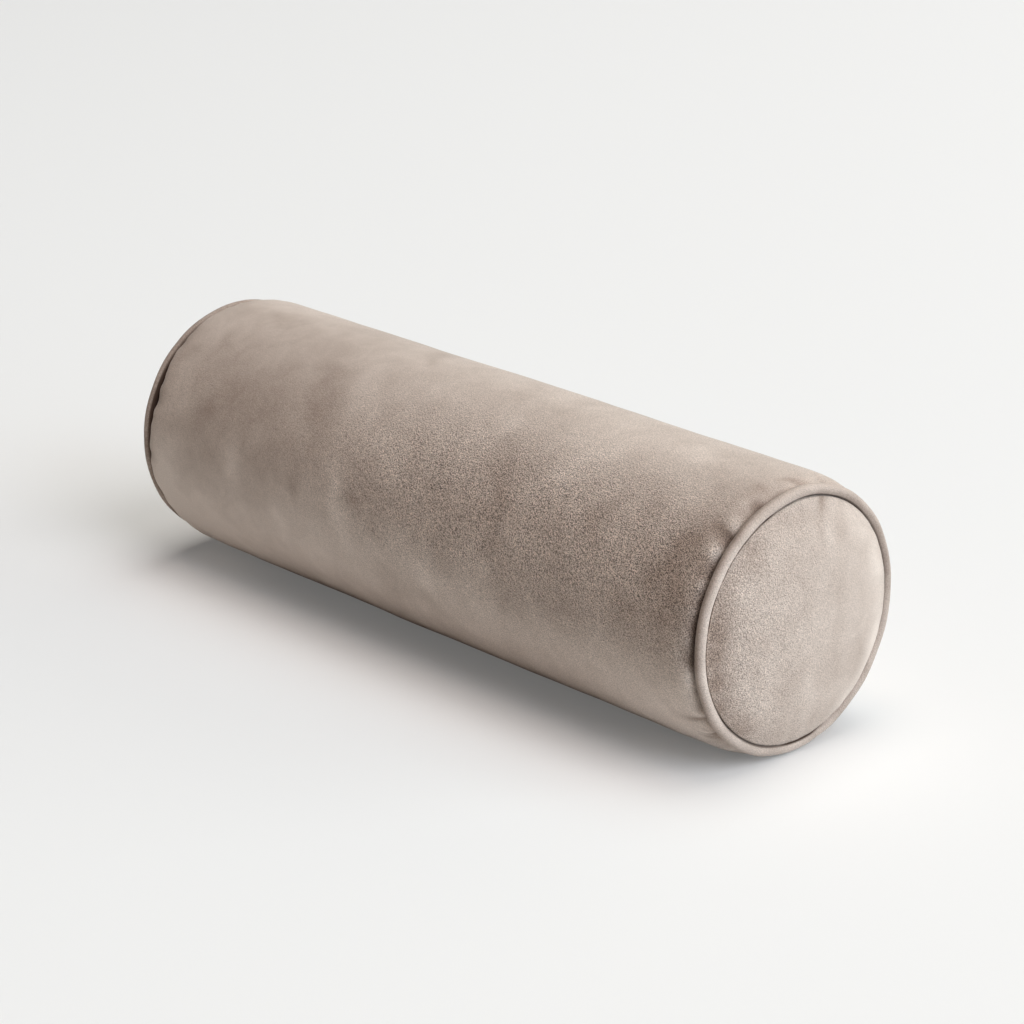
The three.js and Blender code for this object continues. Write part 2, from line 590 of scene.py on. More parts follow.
@dataclass(frozen=True)
class Waves:
    """Smooth seeded waves that close on themselves round the bolster.

    Attributes:
        seed: Which waves they are.
        count: How many are added up.
        lengths: The shortest and the longest wave along the bolster, in millimetres.
        turns: The fewest and the most waves round the bolster.
    """

    seed: int
    count: int
    lengths: tuple[float, float]
    turns: tuple[int, int]

    def at(self, along: np.ndarray, angle: np.ndarray) -> np.ndarray:
        """Reads the waves.

        Args:
            along: Places along the bolster.
            angle: Places round it, in degrees.

        Returns:
            Their height at each place, about zero and mostly between -2 and 2.
        """
        random = np.random.default_rng(self.seed)
        total = np.zeros(np.shape(angle))
        for _ in range(self.count):
            length = random.uniform(*self.lengths) * MM * random.choice((-1.0, 1.0))
            turns = random.integers(self.turns[0], self.turns[1] + 1)
            phase = random.uniform(0.0, 2 * math.pi)
            total += np.cos(2 * math.pi * along / length + np.radians(turns * angle) + phase)
        return total * math.sqrt(2.0 / self.count)


SWELL = Waves(seed=11, count=12, lengths=(90.0, 320.0), turns=(1, 7))
DIMPLES = Waves(seed=12, count=16, lengths=(28.0, 80.0), turns=(5, 18))
PUCKERS = Waves(seed=13, count=10, lengths=(150.0, 500.0), turns=(28, 62))
WAVER_ALONG = Waves(seed=41, count=14, lengths=(18.0, 60.0), turns=(2, 26))
WAVER_ROUND = Waves(seed=42, count=14, lengths=(18.0, 60.0), turns=(2, 26))
RIBS = Waves(seed=51, count=12, lengths=(7.0, 16.0), turns=(70, 170))
THICKNESS = Waves(seed=52, count=8, lengths=(100.0, 200.0), turns=(4, 30))


def puckered(place: RoundPlace, from_edge: np.ndarray) -> np.ndarray:
    """The fine puckers beside the body's seams.

    Args:
        place: The body's points.
        from_edge: How far each one is along the body from the cloth against the cord.

    Returns:
        Their height at each point, about zero.
    """
    return PUCKERS.at(place.along, place.angle) * np.exp(-from_edge / PUCKER_REACH)


@dataclass(frozen=True)
class CordPath:
    """How a sewn-in cord strays from a true ring, and where it is sewn in snug against its end panel.

    Attributes:
        end: Which end it is on.
        stray: How far it strays from place to place, in millimetres.
        kink_angle: Where the ends of its cover overlap and pull it out of line.
        kink: How far the overlap pulls it in, in millimetres.
        snug_angle: Round where the cord is sewn in snug.
        snug_width: Half the width of that stretch, in degrees.
        pinch: How much the snug seam pinches the cord's radius, in millimetres.
        loose: How far the cord leans away from the panel elsewhere, in millimetres.
        away_out: The share of a move away from the panel that goes outwards.
        away_in: The share of it that goes towards the middle of the bolster.
        kink_width: Half the width of the overlap's pull, in degrees.
        kink_in: How much of the pull goes towards the middle of the bolster.
    """

    end: End
    stray: float
    kink_angle: float
    kink: float
    snug_angle: float
    snug_width: float = 50.0
    pinch: float = 0.30
    loose: float = 0.12
    away_out: float = 0.75
    away_in: float = 0.66
    kink_width: float = 3.0
    kink_in: float = 0.6

    def out(self, angle: np.ndarray) -> np.ndarray:
        """How far the cord lies outside its true ring.

        Args:
            angle: Places round the bolster.

        Returns:
            The distance at each place.
        """
        waves = Waves(seed=21 + self.end.value, count=7, lengths=(100.0, 200.0), turns=(3, 16))
        stray = self.stray * waves.at(np.zeros_like(angle), angle)
        pull = self.kink * Stretch(self.kink_angle, self.kink_width).rounded(angle)
        return (stray - pull + self.away_out * self.drawn_away(angle)) * MM

    def inwards(self, angle: np.ndarray) -> np.ndarray:
        """How far the cord lies towards the middle of the bolster.

        Args:
            angle: Places round the bolster.

        Returns:
            The distance at each place.
        """
        waves = Waves(seed=31 + self.end.value, count=7, lengths=(100.0, 200.0), turns=(3, 20))
        stray = self.stray * waves.at(np.zeros_like(angle), angle)
        beside_kink = Stretch(self.kink_angle + self.kink_width, self.kink_width)
        pull = self.kink_in * self.kink * beside_kink.rounded(angle)
        return (stray + pull + self.away_in * self.drawn_away(angle)) * MM

    def snugness(self, angle: np.ndarray) -> np.ndarray:
        """How snug the seam is at each angle, from 0 to 1."""
        return Stretch(self.snug_angle, self.snug_width).flat(angle)

    def drawn_away(self, angle: np.ndarray) -> np.ndarray:
        """How far the cord's middle moves away from the end panel, in millimetres."""
        snug = self.snugness(angle)
        return self.pinch * snug + self.loose * (1.0 - snug)

    def pinched(self, angle: np.ndarray) -> np.ndarray:
        """How much thinner the cord's radius is at each angle."""
        return self.pinch * MM * self.snugness(angle)

    def rim_reach(self, angle: np.ndarray, gap: float) -> np.ndarray:
        """How far the end panel's rim comes over to meet the snug stretch of the cord."""
        return (2 * self.pinch * MM + gap) * self.snugness(angle)


CORD_PATHS = {
    End.NEAR: CordPath(End.NEAR, stray=0.07, kink_angle=194.0, kink=0.35, snug_angle=82.0),
    End.FAR: CordPath(End.FAR, stray=0.07, kink_angle=166.0, kink=0.30, snug_angle=240.0),
}


@dataclass(frozen=True)
class RimLine(Stretch):
    """A stretch where the seam between an end panel and its piping shows as a dark line, painted in as shade.

    Attributes:
        width: How wide the line is on the panel, in millimetres.
        shade: How much painted shade it has, from 0 to 1.
    """

    width: float
    shade: float

    def darkness(self, angle: np.ndarray) -> np.ndarray:
        """How much painted shade the line has at each angle."""
        return self.shade * self.flat(angle)


RIM_LINES = {
    End.NEAR: (
        RimLine(angle=4, half_width=26, width=0.35, shade=0.75),
        RimLine(angle=334, half_width=22, width=0.25, shade=0.85),
        RimLine(angle=298, half_width=20, width=0.25, shade=0.45),
        RimLine(angle=154, half_width=34, width=0.45, shade=0.8),
        RimLine(angle=186, half_width=12, width=0.9, shade=0.8),
    ),
    End.FAR: (
        RimLine(angle=60, half_width=70, width=0.8, shade=0.7),
        RimLine(angle=160, half_width=30, width=1.0, shade=0.8),
    ),
}


@dataclass(frozen=True)
class SeamDip(Stretch):
    """A stretch of an end seam where the body's cloth dives in beside the cord.

    Attributes:
        depth: How deep the cloth dives, in millimetres.
        reach: How far along the body it falls away, in millimetres.
        shade: How much painted shade lies down in the dip, from 0 to 1.
        shade_reach: How far along the body the painted shade reaches, in millimetres.
    """

    depth: float
    reach: float
    shade: float
    shade_reach: float = 1.1


SEAM_DIPS = {
    End.NEAR: (
        SeamDip(angle=68, half_width=31, depth=0.8, reach=2.5, shade=0.95, shade_reach=0.9),
        SeamDip(angle=82, half_width=13, depth=0.7, reach=4.0, shade=0.65, shade_reach=2.6),
        SeamDip(angle=112, half_width=20, depth=0.3, reach=3.0, shade=0.45),
        SeamDip(angle=255, half_width=55, depth=0.8, reach=5.0, shade=0.6),
    ),
    End.FAR: (
        SeamDip(angle=67, half_width=13, depth=0.6, reach=3.0, shade=0.5, shade_reach=0.6),
        SeamDip(angle=72, half_width=46, depth=0.1, reach=3.0, shade=0.9, shade_reach=0.4),
        SeamDip(angle=262, half_width=60, depth=0.8, reach=5.0, shade=0.6),
    ),
}


@dataclass(frozen=True)
class FullShoulder(Stretch):
    """A stretch where the filling pushes the body out nearly to its full girth beside the seam.

    Attributes:
        share: The share of the drawn-in depth that the filling takes back.
    """

    share: float

    def fill(self, angle: np.ndarray) -> np.ndarray:
        """The share that is filled at each angle."""
        return self.share * self.flat(angle)


FULL_SHOULDERS = {
    End.NEAR: (
        FullShoulder(angle=80, half_width=36, share=0.6),
        FullShoulder(angle=250, half_width=50, share=0.4),
    ),
    End.FAR: (
        FullShoulder(angle=30, half_width=24, share=0.55),
        FullShoulder(angle=100, half_width=20, share=0.55),
        FullShoulder(angle=255, half_width=55, share=0.4),
    ),
}


@dataclass(frozen=True)
class Stroke:
    """A long soft mark on the cloth: nap brushed another way, painted light or painted shade, a crease, or a
    mix of these.

    Attributes:
        x: Its middle on the flat cloth in millimetres: along the body, or across an end panel.
        y: Its middle the other way: round the body from its top, or up an end panel.
        length: Half its length, in millimetres.
        width: Half its width, in millimetres.
        slant: How far its length turns from x towards y, in degrees.
        tone: How much lighter the mark is painted: nap tone for some marks, painted light and painted shade
            for others.
        height: How far it stands out, in millimetres.
    """

    x: float
    y: float
    length: float
    width: float
    slant: float = 0.0
    tone: float = 0.0
    height: float = 0.0


@dataclass
class BrushingAndShading:
    """The tone and the creases of one piece, from its strokes: nap tone, painted light and painted shade.

    Attributes:
        tone: How much lighter than the plain cloth each point is.
        height: How far the cloth stands out at each point.
    """

    tone: np.ndarray
    height: np.ndarray

    @classmethod
    def of(cls, strokes: Sequence[Stroke], x: np.ndarray, y: np.ndarray, girth: float = 0.0) -> "BrushingAndShading":
        """Adds up strokes.

        Args:
            strokes: The marks.
            x: The points on the flat cloth, in millimetres.
            y: The same, the other way.
            girth: How far round y closes on itself, or 0 where it doesn't.

        Returns:
            The tone and height at each point.
        """
        tone = np.zeros(len(x))
        height = np.zeros(len(x))
        for stroke in strokes:
            dx = x - stroke.x
            dy = y - stroke.y
            if girth:
                dy = (dy + girth / 2) % girth - girth / 2
            cosine = math.cos(math.radians(stroke.slant))
            sine = math.sin(math.radians(stroke.slant))
            length = (dx * cosine + dy * sine) / stroke.length
            width = (dy * cosine - dx * sine) / stroke.width
            share = np.exp(-np.minimum(length * length + width * width, 40.0))
            tone += stroke.tone * share
            height += stroke.height * MM * share
        return cls(tone, height)


def arc(degrees: float) -> float:
    """How far round the filled body an angle is from its top, in millimetres."""
    return math.radians(degrees) * MARKS_RADIUS


# The side that the photograph shows, from far to near.
# These hold nap tone and creases, and also painted light and painted shade: creases are painted darker where
# they sink and lighter where they stand out.
BODY_STROKES = (
    Stroke(x=-150, y=arc(18), length=75, width=48, tone=-0.12),
    Stroke(x=-15, y=arc(45), length=50, width=38, tone=0.10),
    Stroke(x=115, y=arc(5), length=80, width=30, tone=0.12),
    Stroke(x=115, y=arc(100), length=60, width=26, tone=-0.12),
    Stroke(x=-208, y=arc(103), length=42, width=10, slant=90, tone=0.30),
    Stroke(x=-190, y=arc(28), length=11, width=7, slant=90, tone=-0.15),
    Stroke(x=-174, y=arc(66), length=14, width=7, slant=140, tone=-0.20, height=-0.15),
    Stroke(x=-172, y=arc(6), length=15, width=9, tone=-0.18),
    Stroke(x=-174, y=arc(106), length=12, width=8, tone=0.15),
    Stroke(x=-165, y=arc(120), length=12, width=6, tone=0.12),
    Stroke(x=-142, y=arc(82), length=15, width=6, slant=82, tone=0.30, height=0.20),
    Stroke(x=-97, y=arc(102), length=9, width=6, slant=60, tone=0.25, height=0.15),
    Stroke(x=-97, y=arc(30), length=11, width=9, tone=-0.12),
    Stroke(x=-84, y=arc(84), length=9, width=5, slant=60, tone=-0.20, height=-0.15),
    Stroke(x=-82, y=arc(45), length=30, width=12, slant=56, tone=-0.20, height=-0.25),
    Stroke(x=-65, y=arc(32), length=14, width=8, slant=60, tone=0.20, height=0.15),
    Stroke(x=-54, y=arc(-6), length=19, width=6, slant=50, tone=-0.22),
    Stroke(x=-48, y=arc(83), length=24, width=7, slant=66, tone=0.34, height=0.30),
    Stroke(x=-33, y=arc(79), length=7, width=5, slant=50, tone=-0.20, height=-0.20),
    Stroke(x=-25, y=arc(53), length=26, width=12, slant=20, tone=0.16),
    Stroke(x=-14, y=arc(88), length=8, width=5, slant=50, tone=-0.20, height=-0.20),
    Stroke(x=-8, y=arc(107), length=16, width=10, slant=30, tone=-0.22, height=-0.15),
    Stroke(x=1, y=arc(21), length=12, width=7, tone=0.12),
    Stroke(x=18, y=arc(84), length=8, width=5, slant=60, tone=-0.12),
    Stroke(x=20, y=arc(113), length=18, width=10, slant=20, tone=-0.24, height=-0.15),
    Stroke(x=28, y=arc(101), length=9, width=6, slant=40, tone=0.22, height=0.15),
    Stroke(x=35, y=arc(5), length=6, width=5, tone=-0.12),
    Stroke(x=47, y=arc(27), length=10, width=7, slant=80, tone=0.16),
    Stroke(x=62, y=arc(8), length=6, width=5, tone=-0.12),
    Stroke(x=75, y=arc(-3), length=16, width=8, slant=90, tone=0.12),
    Stroke(x=76, y=arc(67), length=34, width=8, slant=70, tone=-0.24, height=-0.30),
    Stroke(x=95, y=arc(99), length=16, width=11, slant=30, tone=-0.17, height=-0.12),
    Stroke(x=104, y=arc(46), length=8, width=6, tone=-0.12),
    Stroke(x=109, y=arc(28), length=26, width=16, slant=80, tone=0.24),
    Stroke(x=132, y=arc(95), length=18, width=14, slant=40, tone=-0.22, height=-0.15),
    Stroke(x=145, y=arc(58), length=15, width=6, slant=66, tone=-0.16, height=-0.15),
    Stroke(x=164, y=arc(7), length=20, width=10, tone=0.20),
    Stroke(x=172, y=arc(88), length=18, width=14, tone=-0.15),
    # Painted light low down towards both ends (x -178 and 190), and painted shade on the front beside the
    # near seam (x 184 and 204).
    Stroke(x=-178, y=arc(129), length=66, width=22, tone=0.34),
    Stroke(x=-198, y=arc(62), length=13, width=11, tone=0.18),
    Stroke(x=184, y=arc(94), length=22, width=15, slant=90, tone=-0.16),
    Stroke(x=190, y=arc(131), length=30, width=17, tone=0.46),
    Stroke(x=204, y=arc(72), length=52, width=14, slant=90, tone=-0.34, height=-0.25),
    Stroke(x=213, y=arc(15), length=9, width=4, slant=90, tone=-0.26, height=-0.15),
    Stroke(x=219, y=arc(-4), length=7, width=3, slant=90, tone=-0.38, height=-0.20),
    # Fine wrinkles low beside the near seam, painted darker in their troughs and lighter on their ridge, as
    # painted shade and light.
    Stroke(x=214, y=arc(122), length=7, width=1.7, slant=20, tone=-0.40, height=-0.35),
    Stroke(x=218, y=arc(125), length=6, width=1.4, slant=25, tone=0.22, height=0.20),
    Stroke(x=219, y=arc(129), length=6, width=1.6, slant=28, tone=-0.45, height=-0.40),
    Stroke(x=217, y=arc(134), length=8, width=1.7, slant=22, tone=-0.45, height=-0.40),
    Stroke(x=216, y=arc(139), length=8, width=1.5, slant=20, tone=-0.32, height=-0.30),
)
# Nap tone on the end panels, with painted shade along the near panel's left rim and painted light towards its
# right edge.
PANEL_STROKES = (
    Stroke(x=-62, y=-2, length=48, width=9, slant=90, tone=-0.42),
    Stroke(x=-46, y=-42, length=20, width=8, slant=135, tone=-0.32),
    Stroke(x=-44, y=42, length=20, width=8, slant=45, tone=-0.18),
    Stroke(x=-10, y=-56, length=16, width=6, tone=-0.12),
    Stroke(x=-8, y=57, length=10, width=6, tone=-0.12),
    Stroke(x=0, y=-38, length=26, width=5, slant=88, tone=0.14, height=0.10),
    Stroke(x=13, y=46, length=10, width=3.5, slant=118, tone=0.16, height=0.15),
    Stroke(x=22, y=46, length=10, width=5, slant=118, tone=-0.12, height=-0.12),
    Stroke(x=19, y=-6, length=26, width=5, slant=94, tone=-0.12),
    Stroke(x=40, y=-22, length=12, width=4, slant=110, tone=-0.12),
    Stroke(x=38, y=47, length=15, width=8, slant=130, tone=0.25),
    Stroke(x=38, y=-50, length=14, width=6, slant=45, tone=0.38),
    Stroke(x=56, y=18, length=24, width=8, slant=100, tone=0.36),
    Stroke(x=56, y=-27, length=19, width=8, slant=75, tone=0.60),
)


@dataclass
class Filling:
    """Pressure that fills the bag, by cloth simulation.

    Attributes:
        sizes: The bolster's driving sizes.
        pressure: How hard the filling pushes.
        panel_pressure: The share of that pressure that the end panels feel.
        frames: How many frames the cloth takes to settle.
        cap: The furthest that a point may move.
        fullness: The share of the body's full girth that the cut cloth keeps at its seams.
        ease: How much larger than the filled bag the cloth is cut.
        mass: The mass of each point of the cloth, in kilograms.
        stretch: How stiff the cloth is along its threads.
        shear: How stiff it is across them.
        bending: How stiff it is against folding.
        damping: How fast its movement dies away.
        steps: How many steps each frame is worked out in.
    """

    sizes: BolsterSizes
    pressure: float = 230.0
    panel_pressure: float = 0.35
    frames: int = 20
    cap: float = 4.0 * MM
    fullness: float = 0.5
    ease: float = 0.005
    mass: float = 0.004
    stretch: float = 30.0
    shear: float = 8.0
    bending: float = 0.05
    damping: float = 0.5
    steps: int = 5

    def cut_points(self, bag: MeshData) -> np.ndarray:
        """Where each point of the cut cloth lies, at the girth and length that it was cut to.

        Args:
            bag: The bag before it is filled.

        Returns:
            A place for each point.
        """
        s = self.sizes
        place = RoundPlace.of(bag.points, s)
        on_body = place.from_seam > s.clearance * 0.5
        on_body &= place.radius > s.ring_radius - s.gap
        drawn_in = s.body_radius - place.radius
        radius = place.radius + np.where(on_body, self.fullness * drawn_in, 0.0)
        radius *= 1.0 + self.ease
        along = bag.points[:, 0] * (1.0 + self.ease)
        return s.placed(along, radius, np.radians(place.angle))

    def pinned(self, bag: MeshData) -> np.ndarray:
        """Finds the points that the seams hold.

        Args:
            bag: The bag before it is filled.

        Returns:
            The points' numbers.
        """
        s = self.sizes
        place = RoundPlace.of(bag.points, s)
        from_cord = np.hypot(place.from_seam, place.radius - s.ring_radius)
        return np.flatnonzero(from_cord < s.clearance + 0.5 * s.gap)

    def fill(self, bag: MeshData) -> MeshData:
        """Runs the simulation.

        Args:
            bag: The bag before it is filled.

        Returns:
            The filled bag.
        """
        piece = bag.to_object("filling")
        pins = piece.vertex_groups.new(name="seams")
        pins.add(self.pinned(bag).tolist(), 1.0, "REPLACE")
        pressed = piece.vertex_groups.new(name="pressed")
        on_panels = np.unique(bag.quads[bag.part != Part.BODY.value])
        pressed.add(list(range(len(bag.points))), 1.0, "REPLACE")
        pressed.add(on_panels.tolist(), self.panel_pressure, "REPLACE")
        piece.shape_key_add(name="Basis")
        cut = piece.shape_key_add(name="Cut")
        cut.data.foreach_set("co", self.cut_points(bag).ravel())
        cut.value = 0.0
        modifier = piece.modifiers.new("Cloth", "CLOTH")
        cloth = modifier.settings
        cloth.quality = self.steps
        cloth.mass = self.mass
        cloth.tension_stiffness = self.stretch
        cloth.compression_stiffness = self.stretch
        cloth.shear_stiffness = self.shear
        cloth.bending_stiffness = self.bending
        cloth.tension_damping = self.damping
        cloth.compression_damping = self.damping
        cloth.shear_damping = self.damping
        cloth.air_damping = 0.0
        cloth.vertex_group_mass = "seams"
        cloth.vertex_group_pressure = "pressed"
        cloth.pin_stiffness = 1.0
        cloth.rest_shape_key = cut
        cloth.use_pressure = True
        cloth.uniform_pressure_force = self.pressure
        cloth.effector_weights.gravity = 0.0
        modifier.collision_settings.use_collision = False
        modifier.point_cache.frame_start = 1
        modifier.point_cache.frame_end = self.frames
        scene = bpy.context.scene
        for number in range(1, self.frames + 1):
            scene.frame_set(number)
        graph = bpy.context.evaluated_depsgraph_get()
        settled = np.empty(len(bag.points) * 3)
        piece.evaluated_get(graph).data.vertices.foreach_get("co", settled)
        mesh = piece.data
        bpy.data.objects.remove(piece)
        bpy.data.meshes.remove(mesh)
        scene.frame_set(1)

        move = settled.reshape(-1, 3) - bag.points
        length = np.linalg.norm(move, axis=1)
        log.info("filling: moved %.2f mm at most, %.2f mm on average", length.max() / MM, length.mean() / MM)
        move *= np.minimum(1.0, self.cap / np.maximum(length, 1e-9))[:, None]
        return MeshData(bag.points + move, bag.quads, bag.part)


class Wire:
    """A socket of a material, whose arithmetic adds Math nodes."""

    def __init__(self, graph: "Graph", socket: bpy.types.NodeSocket) -> None:
        """Wraps a socket of one of the graph's nodes."""
        self.graph = graph
        self.socket = socket

    def math(self, operation: str, *values: "Value") -> "Wire":
        """Adds a Math node that takes this socket first, then the values."""
        inputs = dict(enumerate((self, *values)))
        return self.graph.node("ShaderNodeMath", {"operation": operation}, inputs)

    def clamp(self) -> "Wire":
        """The value held between 0 and 1."""
        return self.graph.node("ShaderNodeClamp", {}, {"Value": self})

    def __add__(self, other: "Value") -> "Wire":
        """Adds."""
        return self.math("ADD", other)

    def __radd__(self, other: float) -> "Wire":
        """Adds to a number."""
        return self.math("ADD", other)

    def __sub__(self, other: "Value") -> "Wire":
        """Takes away."""
        return self.math("SUBTRACT", other)

    def __rsub__(self, other: float) -> "Wire":
        """Takes the socket away from a number."""
        return (self * -1.0).math("ADD", other)

    def __mul__(self, other: "Value") -> "Wire":
        """Multiplies."""
        return self.math("MULTIPLY", other)

    def __rmul__(self, other: float) -> "Wire":
        """Multiplies a number."""
        return self.math("MULTIPLY", other)


Value = Union[Wire, float, tuple]


class Graph:
    """The nodes of one material or world."""

    def __init__(self, tree: bpy.types.NodeTree) -> None:
        """Clears the tree and keeps it.

        Args:
            tree: The node tree of a material or world.
        """
        self.tree = tree
        tree.nodes.clear()

    def node(
        self,
        kind: str,
        settings: dict[str, Any],
        inputs: dict[Union[str, int], Value],
        output: Union[str, int] = 0,
    ) -> Wire:
        """Adds a node.

        Args:
            kind: The node's type.
            settings: The node's own settings, set before its sockets.
            inputs: A value or a wire for each socket, by name or number.
            output: The output to give back.

        Returns:
            That output as a wire.
        """
        made = self.tree.nodes.new(kind)
        for name, value in settings.items():
            setattr(made, name, value)
        for name, value in inputs.items():
            if isinstance(value, Wire):
                self.tree.links.new(value.socket, made.inputs[name])
            else:
                made.inputs[name].default_value = value
        return Wire(self, made.outputs[output]) if made.outputs else Wire(self, made.inputs[0])

    def mix_colour(self, factor: Value, a: Value, b: Value) -> Wire:
        """Mixes two colours."""
        return self.node("ShaderNodeMix", {"data_type": "RGBA"}, {0: factor, 6: a, 7: b}, output=2)

    def noise(self, at: Wire, per_metre: float, detail: float, distortion: float = 0.0) -> Wire:
        """Soft noise about zero.

        Args:
            at: The place to read it at.
            per_metre: How many spots it has to a metre.
            detail: How many finer layers it has.
            distortion: How far its spots are pulled out of shape.

        Returns:
            The noise, from about -0.5 to 0.5.
        """
        made = self.node(
            "ShaderNodeTexNoise",
            {"noise_dimensions": "3D"},
            {"Vector": at, "Scale": per_metre, "Detail": detail, "Roughness": 0.55, "Distortion": distortion},
        )
        return made - 0.5


Colour = tuple[float, float, float, float]


def from_screen(red: int, green: int, blue: int) -> Colour:
    """Turns a screen colour into a linear one.

    Args:
        red: Its red, from 0 to 255.
        green: Its green, from 0 to 255.
        blue: Its blue, from 0 to 255.

    Returns:
        The linear colour.
    """

    def linear(channel: int) -> float:
        """One channel, made linear."""
        share = channel / 255
        return share / 12.92 if share <= 0.04045 else ((share + 0.055) / 1.055) ** 2.4

    return linear(red), linear(green), linear(blue), 1.0


@dataclass(frozen=True)
class Suede:
    """Brushed suede cloth.

    Attributes:
        name: The material's name.
        dark: Its colour at the dark end of its tone, where the nap is brushed the dark way and where painted
            shade lies.
        light: Its colour at the light end of its tone, where the nap is brushed the light way and where
            painted light lies.
        mottle: How strongly its tone wanders over a few centimetres.
        strokes: How strongly brushed strokes show.
        crease_height: How high they stand, in millimetres.
        grain: How strongly its grain shows in its colour.
        grain_height: How high its grain stands, in millimetres.
        grain_scale: How many spots of grain it has to a metre.
        grain_step: How far the copies of the grain are moved.
        grain_share: How much of each copy is taken off.
        darkest: The least that the grain leaves of the colour.
        lightest: The most that it makes of it.
        sheen: How much light its pile catches at the edges.
        deep: The colour painted in as shade down in seams, in gathers and under the body.
    """

    name: str
    dark: Colour
    light: Colour
    mottle: float = 0.36
    strokes: float = 0.12
    crease_height: float = 0.10
    grain: float = 4.0
    grain_height: float = 0.42
    grain_scale: float = 1300.0
    grain_step: float = 0.35 * MM
    grain_share: float = 0.33
    darkest: float = 0.3
    lightest: float = 1.7
    sheen: float = 0.25
    deep: Colour = from_screen(78, 62, 53)

    def fine_grain(self, graph: Graph, place: Wire) -> Wire:
        """Grain with no coarse spots in it: a noise less the mean of three copies moved a little.

        Args:
            graph: The material's nodes.
            place: The place to read it at.

        Returns:
            The grain, about zero.
        """
        grain = graph.noise(place, self.grain_scale, 0.0, 0.5)
        for direction in ((1.0, 0.6, -0.5), (-0.5, 1.0, 0.6), (0.6, -0.5, 1.0)):
            move = tuple(share * self.grain_step for share in direction)
            moved = graph.node("ShaderNodeVectorMath", {"operation": "ADD"}, {0: place, 1: move})
            grain = grain - graph.noise(moved, self.grain_scale, 0.0, 0.5) * self.grain_share
        return grain

    def material(self) -> bpy.types.Material:
        """Makes the material.

        Returns:
            The material.
        """
        made = bpy.data.materials.new(self.name)
        made.use_nodes = True
        graph = Graph(made.node_tree)
        place = graph.node("ShaderNodeTexCoord", {}, {}, output="Object")
        # The nap attribute holds the nap's own tone together with painted light and painted shade; the shade
        # attribute holds painted shade.
        nap = graph.node("ShaderNodeAttribute", {"attribute_name": "nap"}, {}, output="Fac")
        rough = graph.node("ShaderNodeAttribute", {"attribute_name": "rough"}, {}, output="Fac")
        shade = graph.node("ShaderNodeAttribute", {"attribute_name": "shade"}, {}, output="Fac")

        cloud = graph.noise(place, 22.0, 2.0, 0.6)
        blotch = graph.noise(place, 60.0, 2.0, 0.8)
        stroke = graph.noise(place, 170.0, 1.0, 1.2)
        grain = self.fine_grain(graph, place) * rough

        tone = 0.5 + nap + cloud * (1.3 * self.mottle) + blotch * self.mottle + stroke * self.strokes
        colour = graph.mix_colour(tone.clamp(), self.dark, self.light)
        speck = (1.0 + grain * self.grain).math("MAXIMUM", self.darkest).math("MINIMUM", self.lightest)
        inputs = {"Vector": colour, "Scale": speck}
        colour = graph.node("ShaderNodeVectorMath", {"operation": "SCALE"}, inputs)
        # Painted shade: the shade attribute mixes in the deep colour down in seams, in gathers and under the
        # body.
        colour = graph.mix_colour(shade, colour, self.deep)

        height = grain * self.grain_height + stroke * self.crease_height
        bump = graph.node("ShaderNodeBump", {}, {"Height": height, "Strength": 1.0, "Distance": MM})
        shader = graph.node(
            "ShaderNodeBsdfPrincipled",
            {},
            {
                "Base Color": colour,
                "Roughness": 0.95,
                "Specular IOR Level": 0.15,
                "Sheen Weight": self.sheen,
                "Sheen Roughness": 0.45,
                "Sheen Tint": (1.0, 0.97, 0.94, 1.0),
                "Normal": bump,
            },
        )
        graph.node("ShaderNodeOutputMaterial", {}, {"Surface": shader})
        return made


COVER_SUEDE = Suede(
    name="cover_suede",
    dark=from_screen(156, 138, 126),
    light=from_screen(223, 209, 198),
)
PIPING_SUEDE = Suede(
    name="piping_suede",
    dark=from_screen(148, 131, 120),
    light=from_screen(218, 203, 192),
    grain=2.1,
    grain_height=0.26,
)


def set_nap_and_shading(piece: bpy.types.Object, tone: np.ndarray, rough: np.ndarray, shade: np.ndarray) -> None:
    """Stores how the nap looks at each point of a piece, with the light and shade painted on it.

    Args:
        piece: The piece.
        tone: How much lighter than the plain cloth it is painted at each vertex, about zero: nap tone with
            painted light and shade.
        rough: How strongly its grain stands up at each vertex, about one.
        shade: How much painted shade each vertex has, from 0 to 1.
    """
    # The nap layer carries nap tone with painted light and shade; the shade layer carries painted shade.
    for name, values in (("nap", tone), ("rough", rough), ("shade", np.clip(shade, 0.0, 1.0))):
        layer = piece.data.attributes.new(name, "FLOAT", "POINT")
        layer.data.foreach_set("value", values.astype(np.float32))


def dress(piece: bpy.types.Object, material: bpy.types.Material) -> None:
    """Gives a piece its one material.

    Args:
        piece: The piece.
        material: The material.
    """
    piece.data.materials.clear()
    piece.data.materials.append(material)
    piece.data.polygons.foreach_set("material_index", np.zeros(len(piece.data.polygons), dtype=np.int32))


@dataclass(frozen=True)
class ShadingBand(Stretch):
    """A band along the whole body painted lighter or darker, as painted light and shade from how the light
    falls round it.

    Attributes:
        tone: How much lighter it is painted.
    """

    tone: float

    def lightness(self, angle: np.ndarray) -> np.ndarray:
        """How much lighter the band is painted at each angle."""
        return self.tone * self.rounded(angle)


